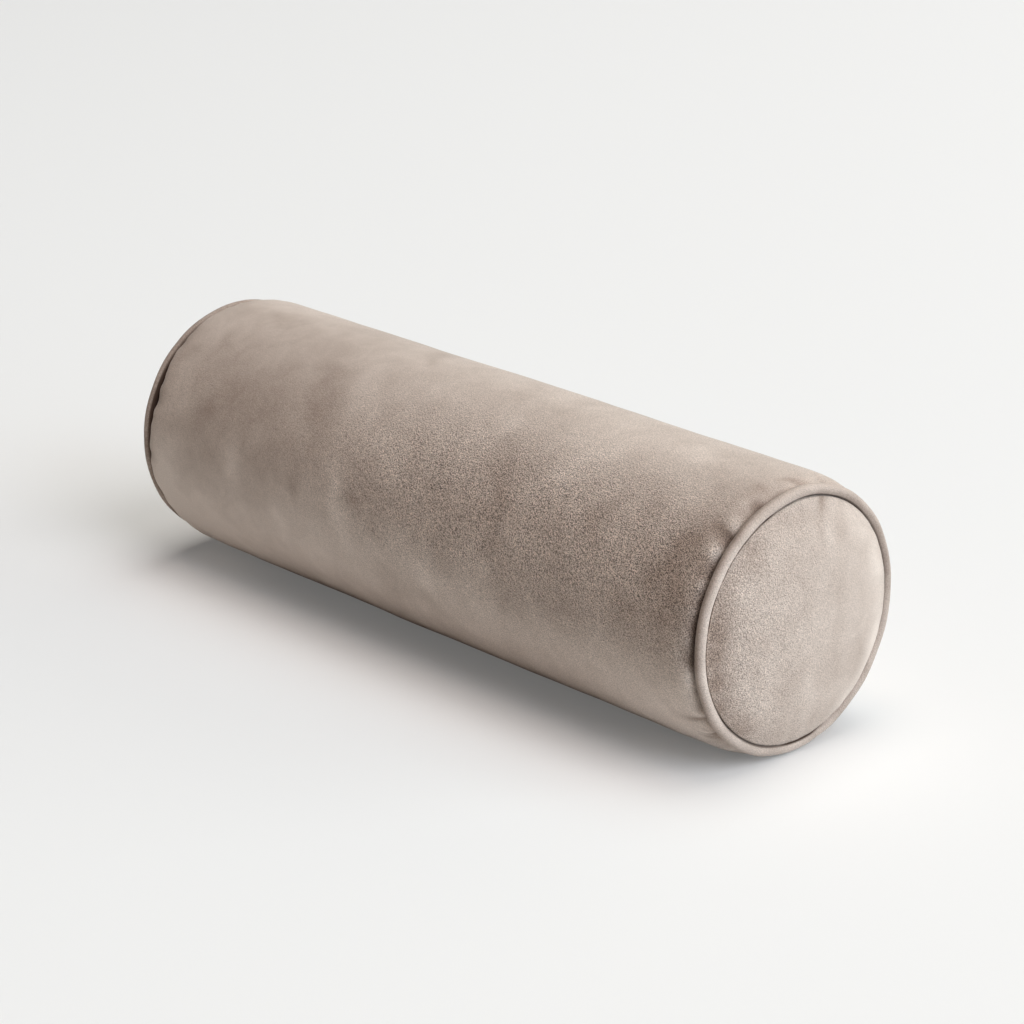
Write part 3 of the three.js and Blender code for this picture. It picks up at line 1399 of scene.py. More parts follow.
@dataclass(frozen=True)
class BodyNap:
    """How the nap lies on the body, apart from its strokes, and the light and shade painted on it, with its
    lengths in millimetres.

    Attributes:
        shading_bands: Bands round the body painted lighter or darker, as painted light and shade.
        under: The strip under the body, with the painted light at its ends, where more light reaches in.
        under_dark: How much darker the strip is painted in its middle, as painted shade.
        under_shade: How much painted shade its middle has.
        under_start: Where that shade starts, in degrees from the top.
        under_fade: How far it takes to come in, in degrees.
        middle_half: Half the length of the body's middle.
        middle_fade: How far the middle takes to fade out.
        seam_dark: How much darker the seams are painted, for crushed nap and as painted shade.
        seam_reach: How far that reaches along the body.
        pucker_shading: How strongly painted light and shade follow the fine puckers.
        gather_shading: How much darker a gather is painted for each millimetre of its depth: painted shade in
            a trough, painted light on a ridge.
        gather_shade: How much painted shade it has for each millimetre.
        far_grain: How strongly the grain stands up at the far end.
        more_grain: How much more strongly it does at the near end.
        grain_start: Where it starts to grow.
        grain_length: How long a stretch it grows over.
        hidden_grain: How strongly it stands up behind.
        grain_angle: Where it is strongest, in degrees from the top on both sides.
        grain_width: How far from there it falls away, in degrees.
        least_grain: The share of it that is left elsewhere.
        puffed: Where the cloth beside the seams is pulled smooth.
        puffed_reach: How far that reaches along the body.
        puffed_loss: The share of the grain that is lost there.
    """

    shading_bands: tuple[ShadingBand, ...] = (
        ShadingBand(angle=109, half_width=20, tone=0.36),
        ShadingBand(angle=60, half_width=28, tone=-0.20),
        ShadingBand(angle=-20, half_width=26, tone=0.13),
    )
    under: ShadingBand = ShadingBand(angle=152, half_width=18, tone=0.25)
    under_dark: float = 0.65
    under_shade: float = 0.70
    under_start: float = 135.0
    under_fade: float = 13.0
    middle_half: float = 110.0
    middle_fade: float = 100.0
    seam_dark: float = 0.10
    seam_reach: float = 9.0
    pucker_shading: float = 0.05
    gather_shading: float = 0.30
    gather_shade: float = 0.17
    far_grain: float = 0.21
    more_grain: float = 0.76
    grain_start: float = -130.0
    grain_length: float = 200.0
    hidden_grain: float = 0.5
    grain_angle: float = 60.0
    grain_width: float = 34.0
    least_grain: float = 0.18
    puffed: Stretch = Stretch(angle=34, half_width=26)
    puffed_reach: float = 14.0
    puffed_loss: float = 0.5

    def middle(self, place: RoundPlace) -> np.ndarray:
        """How much each point belongs to the body's middle, from 0 to 1."""
        return 1.0 - smooth((np.abs(place.along) / MM - self.middle_half) / self.middle_fade)

    def tone(self, place: RoundPlace, from_edge: np.ndarray) -> np.ndarray:
        """How much lighter than the plain cloth each point is painted: nap tone with painted light and shade.

        Args:
            place: The body's points.
            from_edge: How far each one is along the body from the cloth against the cord.

        Returns:
            The tone at each point.
        """
        # Painted light and shade: bands round the body, the underside and the seams, with light and shade
        # that follow the puckers and gathers.
        tone = sum(band.lightness(place.angle) for band in self.shading_bands)
        under = self.under.tone - self.under_dark * self.middle(place)
        tone = tone + under * self.under.rounded(place.angle)
        tone -= self.seam_dark * np.exp(-from_edge / (self.seam_reach * MM))
        tone += self.pucker_shading * puckered(place, from_edge)
        return tone - self.gather_shading * body_gathers(place) / MM

    def grain(self, place: RoundPlace, from_edge: np.ndarray) -> np.ndarray:
        """How strongly the grain stands up.

        Args:
            place: The body's points.
            from_edge: How far each one is along the body from the cloth against the cord.

        Returns:
            The grain at each point, about one.
        """
        growth = smooth((place.along / MM - self.grain_start) / self.grain_length)
        grain = self.far_grain + self.more_grain * growth
        grain += (self.hidden_grain - grain) * smooth(-2.0 * np.sin(np.radians(place.angle)))
        from_top = np.abs(turn_between(place.angle, 0.0))
        strongest = bell((from_top - self.grain_angle) / self.grain_width)
        grain *= self.least_grain + (1.0 - self.least_grain) * strongest
        puffed = self.puffed.rounded(place.angle) * np.exp(-from_edge / (self.puffed_reach * MM))
        return grain * (1.0 - self.puffed_loss * puffed)

    def shade(self, place: RoundPlace, from_edge: np.ndarray) -> np.ndarray:
        """How much painted shade each point has: under the body, in the gathers and down in the seams.

        Args:
            place: The body's points.
            from_edge: How far each one is along the body from the cloth against the cord.

        Returns:
            The shade at each point, about 0 to 1.
        """
        # Painted shade under the middle of the body, in the gathers and down in the seams.
        from_top = np.abs(turn_between(place.angle, 0.0))
        under = smooth((from_top - self.under_start) / self.under_fade)
        shade = self.under_shade * self.middle(place) * under
        shade += self.gather_shade * np.maximum(body_gathers(place) / MM, 0.0)
        for end, dips in SEAM_DIPS.items():
            here = place.along * end.value > 0
            for dip in dips:
                darkness = dip.shade * np.exp(-from_edge / (dip.shade_reach * MM))
                shade += darkness * dip.flat(place.angle) * here
        return shade


@dataclass(frozen=True)
class PanelNap:
    """How the nap lies on the end panels, apart from its strokes, with painted shade in its gathers and along
    its rim.

    Attributes:
        gather_shading: How much darker a gather is painted for each millimetre of its depth, as painted
            shade.
        far_grain: How strongly the far panel's grain stands up.
        right_grain: How strongly the near panel's does at its right edge.
        left_grain: How much more strongly it does at its left edge.
        crowding: How much the grain crowds to the left.
    """

    gather_shading: float = 0.55
    far_grain: float = 0.35
    right_grain: float = 0.10
    left_grain: float = 0.47
    crowding: float = 1.5

    def grain(self, end: End, across: np.ndarray) -> np.ndarray:
        """How strongly the grain stands up.

        Args:
            end: Which end the panel is on.
            across: Places across the panel, from -1 at its left edge to 1 at its right.

        Returns:
            The grain at each place.
        """
        if end is End.FAR:
            return np.full(len(across), self.far_grain)
        left = np.clip(0.5 - across * 0.5, 0.0, 1.0)
        return self.right_grain + self.left_grain * left**self.crowding

    def shade(self, end: End, place: RoundPlace) -> np.ndarray:
        """How much painted shade the seam gives each point.

        Args:
            end: Which end the panel is on.
            place: The panel's points, by how far in they are from its rim.

        Returns:
            The shade at each point.
        """
        shade = np.zeros(len(place.along))
        inside_rim = np.maximum(place.from_seam, 0.0)
        for line in RIM_LINES[end]:
            shade += line.darkness(place.angle) * np.exp(-inside_rim / (line.width * MM))
        return shade


@dataclass
class Covers:
    """The filled body and the two end panels.

    Attributes:
        sizes: The bolster's driving sizes.
        early_share: The share of each gather that is there before the bag is filled.
        late_share: The share that is pressed in afterwards, on the finer mesh.
        swell: How unevenly the body swells.
        dimple: How deep it is dimpled.
        pucker: How high its puckers stand beside its seams.
        shoulder_start: How far from the cord a full shoulder takes to rise.
        closing_seam: Where the body's own lengthwise seam lies, in degrees.
        closing_width: Half that seam's width.
        closing_depth: Its depth.
        waver: How far the strokes waver, in millimetres.
        hidden_marks: How many marks lie on the sides that the photograph doesn't show.
        crown_pucker: How high a crown's puckers stand.
        crown_reach: How far they reach in from its rim.
        crown_start: How far from the rim they take to rise.
        flat_reach: How far in from the rim the crown is flat beside a snug cord.
        meeting_reach: How far in it comes over to meet that cord.
        meeting_back: The share of that move that goes back along the bolster.
        meeting_out: The share of it that goes outwards.
        snug_gap: The least gap between the cord and an end panel.
        bag: How the bag is made.
        filling: How it is filled.
        body_nap: How the body's nap lies, and the light and shade painted on it.
        panel_nap: How the end panels' nap lies, and the shade painted on them.
    """

    sizes: BolsterSizes
    early_share: float = 0.3
    late_share: float = 1.0
    swell: float = 0.16 * MM
    dimple: float = 0.05 * MM
    pucker: float = 0.16 * MM
    shoulder_start: float = 3.0 * MM
    closing_seam: float = 206.0
    closing_width: float = 1.3 * MM
    closing_depth: float = 0.5 * MM
    waver: float = 2.0
    hidden_marks: int = 46
    crown_pucker: float = 0.07 * MM
    crown_reach: float = 7.0 * MM
    crown_start: float = 1.5 * MM
    flat_reach: float = 1.6 * MM
    meeting_reach: float = 4.0 * MM
    meeting_back: float = 0.64
    meeting_out: float = 0.77
    snug_gap: float = 0.04 * MM
    bag: Bag = field(init=False)
    filling: Filling = field(init=False)
    body_nap: BodyNap = BodyNap()
    panel_nap: PanelNap = PanelNap()

    def __post_init__(self) -> None:
        """Makes the bag and its filling from the sizes."""
        self.bag = Bag(self.sizes)
        self.filling = Filling(self.sizes)

    def seeded(self, bag: MeshData, share: float) -> MeshData:
        """Presses a share of each gather into the bag.

        Args:
            bag: The bag before it is filled.
            share: The share.

        Returns:
            The bag with its gathers.
        """
        s = self.sizes
        place = RoundPlace.of(bag.points, s)
        on_body = (place.from_seam > s.clearance * 0.5) & (place.radius > s.ring_radius - s.gap)
        depth = share * body_gathers(place) * on_body
        points = s.widened(bag.points, 1.0 - depth / np.maximum(place.radius, s.gap))
        return MeshData(points, bag.quads, bag.part)

    def hidden_strokes(self) -> list[Stroke]:
        """Draws seeded marks for the sides that the photograph doesn't show.

        Returns:
            The marks, of the same kind as on the side that it shows.
        """
        random = np.random.default_rng(5)
        strokes = []
        for _ in range(self.hidden_marks):
            light = random.random() < 0.5
            tone = random.uniform(0.12, 0.30) * (1.0 if light else -1.0)
            strokes.append(
                Stroke(
                    x=random.uniform(-205, 205),
                    y=arc(random.uniform(158, 322)),
                    length=random.uniform(9, 30),
                    width=random.uniform(5, 10),
                    slant=random.uniform(30, 90),
                    tone=tone,
                    height=tone * random.uniform(0.3, 0.9),
                )
            )
        return strokes

    def body_brushing_and_shading(self, place: RoundPlace) -> BrushingAndShading:
        """The nap tone, painted light and shade, and creases of the body.

        Args:
            place: The body's points.

        Returns:
            Their tone and height.
        """
        radius = self.sizes.body_radius / MM
        x = place.along / MM + self.waver * WAVER_ALONG.at(place.along, place.angle)
        y = np.radians(place.angle) * radius + self.waver * WAVER_ROUND.at(place.along, place.angle)
        girth = 2 * math.pi * radius
        return BrushingAndShading.of([*BODY_STROKES, *self.hidden_strokes()], x, y, girth)

    def panel_brushing_and_shading(self, points: np.ndarray, end: End) -> BrushingAndShading:
        """The nap tone, painted light and shade, and creases of an end panel.

        Args:
            points: The panel's points.
            end: Which end it is on.

        Returns:
            Their tone and height.
        """
        x = points[:, 1] / MM
        y = (points[:, 2] - self.sizes.axis_height) / MM
        if end is End.FAR:    # the same marks, narrower and upside down
            x, y = 0.8 * x, -y
        return BrushingAndShading.of(PANEL_STROKES, x, y)

    def from_edge(self, place: RoundPlace) -> np.ndarray:
        """How far along the body each point is from the cloth against the cord."""
        return np.maximum(place.from_seam - self.sizes.clearance, 0.0)

    def sculpt_body(self, points: np.ndarray) -> np.ndarray:
        """Gives the filled body its uneven swell, creases, gathers and closing seam.

        Args:
            points: The filled bag's points.

        Returns:
            The points, moved towards or away from the bolster's axis.
        """
        s = self.sizes
        place = RoundPlace.of(points, s)
        on_body = (place.from_seam > s.clearance * 0.3) & (place.radius > s.ring_radius - s.clearance)
        from_edge = self.from_edge(place)
        out = self.swell * SWELL.at(place.along, place.angle)
        out += self.dimple * DIMPLES.at(place.along, place.angle)
        out += self.body_brushing_and_shading(place).height
        out *= np.clip(from_edge / s.shoulder, 0.0, 1.0)

        out += self.pucker * puckered(place, from_edge)
        out -= self.late_share * body_gathers(place)
        into_shoulder = np.clip(1.0 - from_edge / (s.shoulder - s.clearance), 0.0, 1.0)
        drawn_in = (s.body_radius - s.ring_radius) * (1.0 - np.sqrt(1.0 - into_shoulder**2))
        drawn_in *= smooth(from_edge / self.shoulder_start)
        for end in End:
            here = points[:, 0] * end.value > 0
            for shoulder in FULL_SHOULDERS[end]:
                out += shoulder.fill(place.angle) * drawn_in * here
            for dip in SEAM_DIPS[end]:
                fall = bell(from_edge / (dip.reach * MM))
                out -= dip.depth * MM * dip.flat(place.angle) * fall * here

        across_seam = np.radians(turn_between(place.angle, self.closing_seam)) * s.body_radius
        out -= self.closing_depth * bell(across_seam / self.closing_width)
        return s.widened(points, 1.0 + np.where(on_body, out, 0.0) / np.maximum(place.radius, s.gap))

    def sculpt_crowns(self, points: np.ndarray) -> np.ndarray:
        """Puckers both crowns beside their seams.

        Args:
            points: The filled bag's points.

        Returns:
            The points, moved along the bolster.
        """
        s = self.sizes
        place = RoundPlace.of(points, s)
        moved = points.copy()
        from_rim = s.rim_radius - place.radius
        inner = RoundPlace(place.along, place.radius, place.angle, from_rim)
        beyond_rim = np.maximum(np.abs(points[:, 0]) - s.seam - s.rim_out, 0.0)
        for end, gathers in PANEL_GATHERS.items():
            here = (points[:, 0] * end.value > s.seam) & (from_rim > -0.1 * MM)
            puckers = Waves(seed=14 + end.value, count=9, lengths=(100.0, 200.0), turns=(22, 48))
            fine = self.crown_pucker * puckers.at(np.zeros_like(place.angle), place.angle)
            fine *= np.exp(-from_rim / self.crown_reach)
            rise = np.clip(from_rim / self.crown_start, 0.0, 1.0)
            out = (fine - gather_depth(gathers, inner)) * rise + self.panel_brushing_and_shading(points, end).height
            path = CORD_PATHS[end]
            out -= beyond_rim * path.snugness(place.angle) * np.exp(-from_rim / self.flat_reach)
            reach = path.rim_reach(place.angle, s.gap) * np.exp(-from_rim / self.meeting_reach)
            moved[:, 0] += np.where(here, (out - self.meeting_back * reach) * end.value, 0.0)
            outwards = np.where(here, self.meeting_out * reach, 0.0)
            moved = s.widened(moved, 1.0 + outwards / np.maximum(place.radius, s.gap))
        return moved

    def clear_of_cord(self, points: np.ndarray) -> np.ndarray:
        """Moves points out of the piping.

        Args:
            points: The bag's points.

        Returns:
            The points, none of them nearer to the cord's middle than its clearance.
        """
        s = self.sizes
        place = RoundPlace.of(points, s)
        near = points[:, 0] > 0
        paths = (CORD_PATHS[End.NEAR], CORD_PATHS[End.FAR])
        cord_out = np.where(near, paths[0].out(place.angle), paths[1].out(place.angle))
        cord_in = np.where(near, paths[0].inwards(place.angle), paths[1].inwards(place.angle))
        out = place.radius - s.ring_radius - cord_out
        from_cord = place.from_seam - cord_in
        distance = np.hypot(from_cord, out)
        pinched = np.where(near, paths[0].pinched(place.angle), paths[1].pinched(place.angle))
        clearance = np.where(from_cord > 0, s.clearance, s.cord_radius - pinched + self.snug_gap)
        push = np.where(distance < clearance, clearance / np.maximum(distance, 1e-9), 1.0)
        from_seam = cord_in + from_cord * push
        radius = s.ring_radius + cord_out + out * push
        along = np.sign(points[:, 0]) * (s.seam - from_seam)
        return s.placed(along, radius, np.radians(place.angle))

    def rest_on_floor(self, points: np.ndarray) -> np.ndarray:
        """Presses the underside flat where the floor holds it.

        Args:
            points: The bag's points.

        Returns:
            The points, none of them below the floor.
        """
        flat = points.copy()
        flat[:, 2] = np.maximum(flat[:, 2], 0.0)
        return flat

    def inset(self, points: np.ndarray, end: End, depth: float) -> np.ndarray:
        """A crown set in from an end panel's outside.

        Args:
            points: Points on the outside.
            end: Which end they are on.
            depth: How far in.

        Returns:
            The points moved in.
        """
        s = self.sizes
        rim = end.value * (s.seam + s.rim_out)
        across = 1.0 - depth / s.rim_radius
        out = 1.0 - depth / s.crown_height
        moved = s.widened(points, across)
        moved[:, 0] = rim + (points[:, 0] - rim) * out
        return moved

    def make_body(self, filled: MeshData) -> bpy.types.Object:
        """The body: the whole bag, with its ends set in under the end panels.

        Args:
            filled: The filled bag.

        Returns:
            The body.
        """
        s = self.sizes
        points = filled.points.copy()
        for end, part in ((End.NEAR, Part.NEAR_PANEL), (End.FAR, Part.FAR_PANEL)):
            under = np.unique(filled.quads[filled.part == part.value])
            points[under] = self.inset(points[under], end, s.cloth + 2 * s.gap)
        return MeshData(points, filled.quads, filled.part).to_object("suede_body")

    def make_panel(self, filled: MeshData, end: End) -> bpy.types.Object:
        """One end panel: a crowned circle of cloth with its full thickness.

        Args:
            filled: The filled bag.
            end: Which end the panel is on.

        Returns:
            The panel.
        """
        s = self.sizes
        part = Part.NEAR_PANEL if end is End.NEAR else Part.FAR_PANEL
        outside = filled.quads[filled.part == part.value]
        used, local = np.unique(outside, return_inverse=True)
        quads = local.reshape(-1, 4)
        top = filled.points[used]
        under = self.inset(top, end, s.cloth)
        edges = np.vstack([quads[:, [k, (k + 1) % 4]] for k in range(4)])
        keys = {tuple(edge) for edge in edges.tolist()}
        rim = np.array([edge for edge in edges.tolist() if (edge[1], edge[0]) not in keys])
        count = len(used)
        sides = np.column_stack([rim[:, 1], rim[:, 0], rim[:, 0] + count, rim[:, 1] + count])
        all_quads = np.vstack([quads, quads[:, ::-1] + count, sides])
        shell = MeshData(np.vstack([top, under]), all_quads, np.zeros(len(all_quads), dtype=int))
        return shell.to_object(f"suede_end_panel_{end.word}")

    def build(self) -> list[bpy.types.Object]:
        """Makes the body and both end panels.

        Returns:
            The body, the near panel and the far panel.
        """
        bag = self.bag.build()
        started = time.perf_counter()
        filled = self.seeded(bag, self.early_share)
        filled = self.filling.fill(filled)
        log.info("filling took %.1f s", time.perf_counter() - started)
        finer = filled.subdivided(2)
        points = self.sculpt_crowns(self.sculpt_body(finer.points))
        points = self.rest_on_floor(self.clear_of_cord(points))
        filled = MeshData(points, finer.quads, finer.part)
        body = self.make_body(filled)
        near = self.make_panel(filled, End.NEAR)
        far = self.make_panel(filled, End.FAR)
        self.brush_body(body)
        self.brush_panel(near, End.NEAR)
        self.brush_panel(far, End.FAR)
        return [body, near, far]

    def brush_body(self, piece: bpy.types.Object) -> None:
        """Stores the nap's look on the body, with its painted light and shade.

        Args:
            piece: The body.
        """
        nap = self.body_nap
        place = RoundPlace.of(MeshData.from_mesh(piece.data).points, self.sizes)
        from_edge = self.from_edge(place)
        tone = self.body_brushing_and_shading(place).tone + nap.tone(place, from_edge)
        set_nap_and_shading(piece, tone, nap.grain(place, from_edge), nap.shade(place, from_edge))

    def brush_panel(self, piece: bpy.types.Object, end: End) -> None:
        """Stores the nap's look on an end panel, with its painted light and shade.

        Args:
            piece: The panel.
            end: Which end it is on.
        """
        nap = self.panel_nap
        points = MeshData.from_mesh(piece.data).points
        place = RoundPlace.of(points, self.sizes)
        place.from_seam = self.sizes.rim_radius - place.radius
        tone = self.panel_brushing_and_shading(points, end).tone
        tone -= nap.gather_shading * gather_depth(PANEL_GATHERS[end], place) / MM
        grain = nap.grain(end, points[:, 1] / self.sizes.rim_radius)
        set_nap_and_shading(piece, tone, grain, nap.shade(end, place))


@dataclass(frozen=True)
class CordNap:
    """How the nap lies on a piping, and the light and shade painted on it, with its sides in degrees round
    the cord.

    Attributes:
        rib_tone: How strongly the cover's ribs show.
        least_ribs: The share of that on the side that faces outwards along the bolster.
        thickness_tone: How strongly the cord's uneven thickness shows.
        body_start: How far the cord's side is turned to the body before it gets painted shade.
        body_fade: How far it takes to be fully shaded.
        rim_side: The side that lies against the panel's rim.
        rim_start: How near to that side the painted shade starts, as a cosine.
        rim_fade: How far it takes to be fully shaded.
        lit: The stretch of the near piping that gets a painted highlight.
        lit_tone: How much lighter its outer side is painted, as a painted highlight.
        lit_width: How far round the cord that reaches.
        turned_dark: How much darker its inner side is painted, as painted shade.
        turned_start: Where on the cord that starts.
        turned_fade: How far it takes to be fully dark.
        panel_shade: The stretch of the near piping that gets painted shade beside the panel's edge.
        panel_shade_dark: How much darker it is painted.
        panel_shade_side: Where on the cord the painted shade is darkest.
        panel_shade_width: How far round the cord that reaches.
        far_dark: How much darker the far piping is.
        grain: How strongly the grain stands up.
    """

    rib_tone: float = 0.03
    least_ribs: float = 0.4
    thickness_tone: float = 0.05
    body_start: float = 0.45
    body_fade: float = 0.4
    rim_side: float = 140.0
    rim_start: float = 0.95
    rim_fade: float = 0.04
    lit: Stretch = Stretch(angle=75, half_width=60)
    lit_tone: float = 0.30
    lit_width: float = 38.0
    turned_dark: float = 0.38
    turned_start: float = 50.0
    turned_fade: float = 50.0
    panel_shade: Stretch = Stretch(angle=318, half_width=44)
    panel_shade_dark: float = 0.28
    panel_shade_side: float = 22.0
    panel_shade_width: float = 32.0
    far_dark: float = 0.30
    grain: float = 0.35

    def tone(self, end: End, angle: np.ndarray, side: np.ndarray, ribs: np.ndarray) -> np.ndarray:
        """How much lighter than the plain cloth the piping is painted: rib and thickness tone, with a painted
        highlight and painted shade on the near piping.

        Args:
            end: Which end the piping is on.
            angle: Places round the bolster.
            side: Places round the cord, in radians from its outermost side.
            ribs: The height of the cover's ribs there.

        Returns:
            The tone at each place.
        """
        inwards = smooth(0.5 - np.sin(side))
        tone = self.rib_tone * ribs * (self.least_ribs + (1.0 - self.least_ribs) * inwards)
        tone = tone + self.thickness_tone * THICKNESS.at(np.zeros_like(angle), angle)
        if end is End.FAR:
            return tone - self.far_dark
        # Painted highlight on the near piping's outer side, and painted shade on its inner side and beside
        # the panel's edge.
        from_panel = turn_between(np.degrees(side), 90.0)
        bright = self.lit_tone * bell(from_panel / self.lit_width)
        bright -= self.turned_dark * smooth((-from_panel - self.turned_start) / self.turned_fade)
        panel_shade = bell((from_panel - self.panel_shade_side) / self.panel_shade_width)
        dark = self.panel_shade_dark * panel_shade * self.panel_shade.flat(angle)
        return tone + bright * self.lit.flat(angle) - dark

    def shade(self, end: End, angle: np.ndarray, side: np.ndarray) -> np.ndarray:
        """How much painted shade the seams give each place.

        Args:
            end: Which end the piping is on.
            angle: Places round the bolster.
            side: Places round the cord, in radians from its outermost side.

        Returns:
            The shade at each place.
        """
        facing_body = smooth((-np.sin(side) - self.body_start) / self.body_fade)
        from_rim = np.cos(side - math.radians(self.rim_side))
        facing_panel = smooth((from_rim - self.rim_start) / self.rim_fade)
        shade = sum(dip.shade * dip.flat(angle) for dip in SEAM_DIPS[end]) * facing_body
        return shade + sum(line.darkness(angle) for line in RIM_LINES[end]) * facing_panel


@dataclass
class Piping:
    """A covered cord sewn into one end seam.

    Attributes:
        sizes: The bolster's driving sizes.
        end: Which end it is on.
        around: Rows of faces round the bolster.
        sides: Faces round the cord.
        fullness: The cord's radius, as a share of the frame's.
        unevenness: How far that share wanders.
        rib_height: How high the cover's ribs stand.
        slack: The least space between the cord and the body's cloth.
        nap: How the nap lies on it, with its painted light and shade.
    """

    sizes: BolsterSizes
    end: End
    around: int = 720
    sides: int = 24
    fullness: float = 0.985
    unevenness: float = 0.008
    rib_height: float = 0.012 * MM
    slack: float = 0.1 * MM
    nap: CordNap = CordNap()

    def build(self) -> bpy.types.Object:
        """Makes the ring.

        Returns:
            The piping.
        """
        s = self.sizes
        path = CORD_PATHS[self.end]
        turn, side = np.meshgrid(
            2 * math.pi * np.arange(self.around) / self.around,
            2 * math.pi * np.arange(self.sides) / self.sides,
            indexing="ij",
        )
        angle = np.degrees(turn)
        ribs = RIBS.at(side * s.cord_radius, angle)
        thickness = THICKNESS.at(np.zeros_like(angle), angle)
        cord = s.cord_radius * (self.fullness + self.unevenness * thickness) + self.rib_height * ribs
        cord = np.minimum(cord, s.clearance - self.slack) - path.pinched(angle)
        radius = s.ring_radius + path.out(angle) + cord * np.cos(side)
        along = s.seam - path.inwards(angle) + cord * np.sin(side)
        points = s.placed(along * self.end.value, radius, turn)
        rows, columns = np.meshgrid(np.arange(self.around), np.arange(self.sides), indexing="ij")
        next_row = (rows + 1) % self.around
        next_column = (columns + 1) % self.sides
        quads = np.stack(
            [
                rows * self.sides + columns,
                next_row * self.sides + columns,
                next_row * self.sides + next_column,
                rows * self.sides + next_column,
            ],
            axis=-1,
        ).reshape(-1, 4)
        if self.end is End.FAR:
            quads = quads[:, ::-1]
        ring = MeshData(points, quads, np.zeros(len(quads), dtype=int))
        piece = ring.to_object(f"suede_piping_{self.end.word}")
        tone = self.nap.tone(self.end, angle, side, ribs)
        shade = self.nap.shade(self.end, angle, side)
        set_nap_and_shading(piece, tone.ravel(), np.full(tone.size, self.nap.grain), shade.ravel())
        return piece


@dataclass(frozen=True)
class SoftLight:
    """A wide, far studio light.

    Attributes:
        name: Its name.
        azimuth: The side that it shines from, in degrees from the front (-Y) towards +X.
        elevation: How high it stands, in degrees.
        spread: How wide it is as the bolster sees it, in degrees.
        strength: How bright it is.
        colour: Its colour, linear.
    """

    name: str
    azimuth: float
    elevation: float
    spread: float
    strength: float
    colour: tuple[float, float, float]

    def build(self) -> bpy.types.Object:
        """Makes the light.

        Returns:
            The light, linked to the scene.
        """
        lamp = bpy.data.lights.new(self.name, "SUN")
        lamp.energy = self.strength
        lamp.color = self.colour
        lamp.angle = math.radians(self.spread)
        light = bpy.data.objects.new(self.name, lamp)
        light.rotation_mode = "QUATERNION"
        light.rotation_quaternion = facing(self.azimuth, self.elevation).to_track_quat("Z", "Y")
        bpy.context.scene.collection.objects.link(light)
        return light


def facing(azimuth: float, elevation: float) -> Vector:
    """The direction from the bolster to a place round it.

    Args:
        azimuth: Its side, in degrees from the front (-Y) towards +X.
        elevation: Its height, in degrees.

    Returns:
        The direction, of length one.
    """
    a = math.radians(azimuth)
    e = math.radians(elevation)
    return Vector((math.sin(a) * math.cos(e), -math.cos(a) * math.cos(e), math.sin(e)))


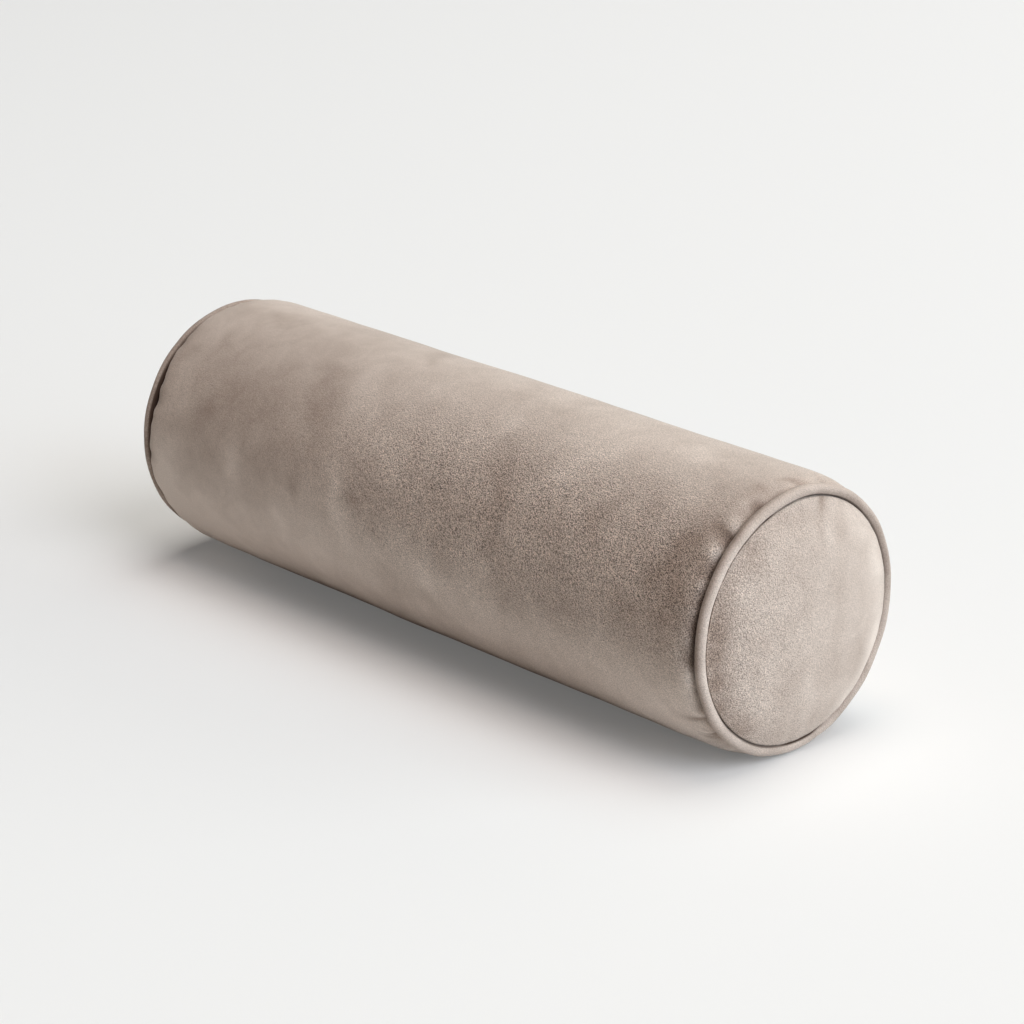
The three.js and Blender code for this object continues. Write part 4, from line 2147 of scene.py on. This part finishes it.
@dataclass
class Studio:
    """The camera, the lights and the floor.

    Attributes:
        azimuth: The camera's side, in degrees from the front (-Y) towards +X.
        elevation: The camera's height, in degrees.
        distance: From the camera to the point that it looks at.
        target: The point that it looks at.
        lens: The camera's focal length in millimetres, on a sensor 36 mm wide.
        floor_size: How wide the floor is.
        floor_paint: How light its paint is, from 0 to 1.
        floor_glow: How strongly it glows to the camera, as painted light that also lifts its shadows.
        floor_right: How much lighter it is painted for each metre to the right, as painted light.
        floor_front: How much lighter it is painted for each metre towards the camera, as painted light.
        ambient: How strongly the surroundings light the room.
        backdrop: How bright the camera sees them.
        lights: The lights.
    """

    azimuth: float = 47.357
    elevation: float = 19.765
    distance: float = 1.786
    target: tuple[float, float, float] = (0.0072, 0.0071, 0.0718)
    lens: float = 113.16
    floor_size: float = 24.0
    floor_paint: float = 0.73
    floor_glow: float = 0.13
    floor_right: float = 0.10
    floor_front: float = 0.026
    ambient: float = 0.005
    backdrop: float = 0.85
    lights: tuple[SoftLight, ...] = (
        SoftLight("top", 0.0, 90.0, spread=40.0, strength=1.03, colour=(1.0, 0.833, 0.707)),
        SoftLight("right", 90.0, 45.0, spread=40.0, strength=1.30, colour=(0.963, 0.949, 0.99)),
        SoftLight("right_low", 90.0, 20.0, spread=40.0, strength=0.87, colour=(0.657, 0.843, 1.0)),
        SoftLight("front_low", 0.0, 8.0, spread=30.0, strength=0.13, colour=(1.0, 0.60, 0.20)),
        SoftLight("corner", 135.0, 20.0, spread=40.0, strength=1.075, colour=(0.955, 1.0, 0.968)),
        SoftLight("back", 180.0, 70.0, spread=40.0, strength=0.85, colour=(0.784, 0.949, 1.0)),
        SoftLight("back_low", 180.0, 20.0, spread=40.0, strength=0.353, colour=(1.0, 0.85, 0.657)),
    )

    def make_camera(self) -> None:
        """Makes the camera and gives it to the scene."""
        lens = bpy.data.cameras.new("camera")
        lens.lens = self.lens
        lens.sensor_width = 36.0
        lens.clip_end = 100.0
        camera = bpy.data.objects.new("camera", lens)
        back = facing(self.azimuth, self.elevation)
        camera.location = Vector(self.target) + back * self.distance
        camera.rotation_mode = "QUATERNION"
        camera.rotation_quaternion = (-back).to_track_quat("-Z", "Y")
        bpy.context.scene.collection.objects.link(camera)
        bpy.context.scene.camera = camera

    def make_floor(self) -> None:
        """Makes the pale floor, with painted light: lighter towards the right and front, and glowing to the
        camera.
        """
        half = self.floor_size / 2
        corners = [(-half, -half, 0.0), (half, -half, 0.0), (half, half, 0.0), (-half, half, 0.0)]
        mesh = bpy.data.meshes.new("floor")
        mesh.from_pydata(corners, [], [(0, 1, 2, 3)])
        floor = bpy.data.objects.new("floor", mesh)
        bpy.context.scene.collection.objects.link(floor)
        paint = bpy.data.materials.new("floor_paint")
        paint.use_nodes = True
        graph = Graph(paint.node_tree)
        place = graph.node("ShaderNodeTexCoord", {}, {}, output="Object")
        side = math.radians(self.azimuth)
        rightwards = (math.cos(side), math.sin(side), 0.0)
        forwards = (math.sin(side), -math.cos(side), 0.0)
        measure = {"operation": "DOT_PRODUCT"}
        right = graph.node("ShaderNodeVectorMath", measure, {0: place, 1: rightwards}, "Value")
        front = graph.node("ShaderNodeVectorMath", measure, {0: place, 1: forwards}, "Value")
        # Painted light: the floor is painted lighter towards the right and the front.
        fall = 1.0 + right.math("MAXIMUM", -1.0).math("MINIMUM", 1.0) * self.floor_right
        fall = fall + front.math("MAXIMUM", -3.0).math("MINIMUM", 1.0) * self.floor_front
        paint_tone = fall * self.floor_paint
        grey = graph.node("ShaderNodeCombineColor", {}, {0: paint_tone, 1: paint_tone, 2: paint_tone})
        # The glow shows only to the camera: painted light that lifts the floor's shadows.
        seen = graph.node("ShaderNodeLightPath", {}, {}, output="Is Camera Ray")
        glow_tone = fall * seen * self.floor_glow
        shader = graph.node(
            "ShaderNodeBsdfPrincipled",
            {},
            {
                "Base Color": grey,
                "Roughness": 1.0,
                "Specular IOR Level": 0.0,
                "Emission Color": (1.0, 1.0, 0.99, 1.0),
                "Emission Strength": glow_tone,
            },
        )
        graph.node("ShaderNodeOutputMaterial", {}, {"Surface": shader})
        mesh.materials.append(paint)

    def make_world(self) -> None:
        """Makes the pale surroundings, brighter to the eye than they light the room."""
        world = bpy.data.worlds.new("surroundings")
        world.use_nodes = True
        bpy.context.scene.world = world
        graph = Graph(world.node_tree)
        seen = graph.node("ShaderNodeLightPath", {}, {}, output="Is Camera Ray")
        strength = self.ambient + seen * (self.backdrop - self.ambient)
        inputs = {"Color": (1.0, 1.0, 1.0, 1.0), "Strength": strength}
        glow = graph.node("ShaderNodeBackground", {}, inputs)
        graph.node("ShaderNodeOutputWorld", {}, {"Surface": glow})

    def build(self) -> None:
        """Makes the whole studio."""
        self.make_camera()
        self.make_floor()
        self.make_world()
        for light in self.lights:
            light.build()
        bpy.context.scene.view_settings.view_transform = "Standard"


def report(piece: bpy.types.Object) -> None:
    """Logs a piece's size and how many faces it has."""
    size = piece.dimensions / MM
    log.info("%s: %.1f x %.1f x %.1f mm, %d faces", piece.name, *size, len(piece.data.polygons))


def main() -> None:
    """Builds the studio and the bolster."""
    Studio().build()
    sizes = BolsterSizes.from_frame()
    log.info("%s", sizes)
    cover = COVER_SUEDE.material()
    trim = PIPING_SUEDE.material()

    body, near_panel, far_panel = Covers(sizes).build()
    for piece in (body, near_panel, far_panel):
        dress(piece, cover)
        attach(piece, "root")
    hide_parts("barrel")
    for end, panel in ((End.NEAR, near_panel), (End.FAR, far_panel)):
        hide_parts(f"end_panel_{end.word}")
    for end in End:
        piping = Piping(sizes, end).build()
        dress(piping, trim)
        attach(piping, "root")
        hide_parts(f"piping_{end.word}")
        report(piping)
    for piece in (body, near_panel, far_panel):
        report(piece)


if __name__ == "__main__":
    main()
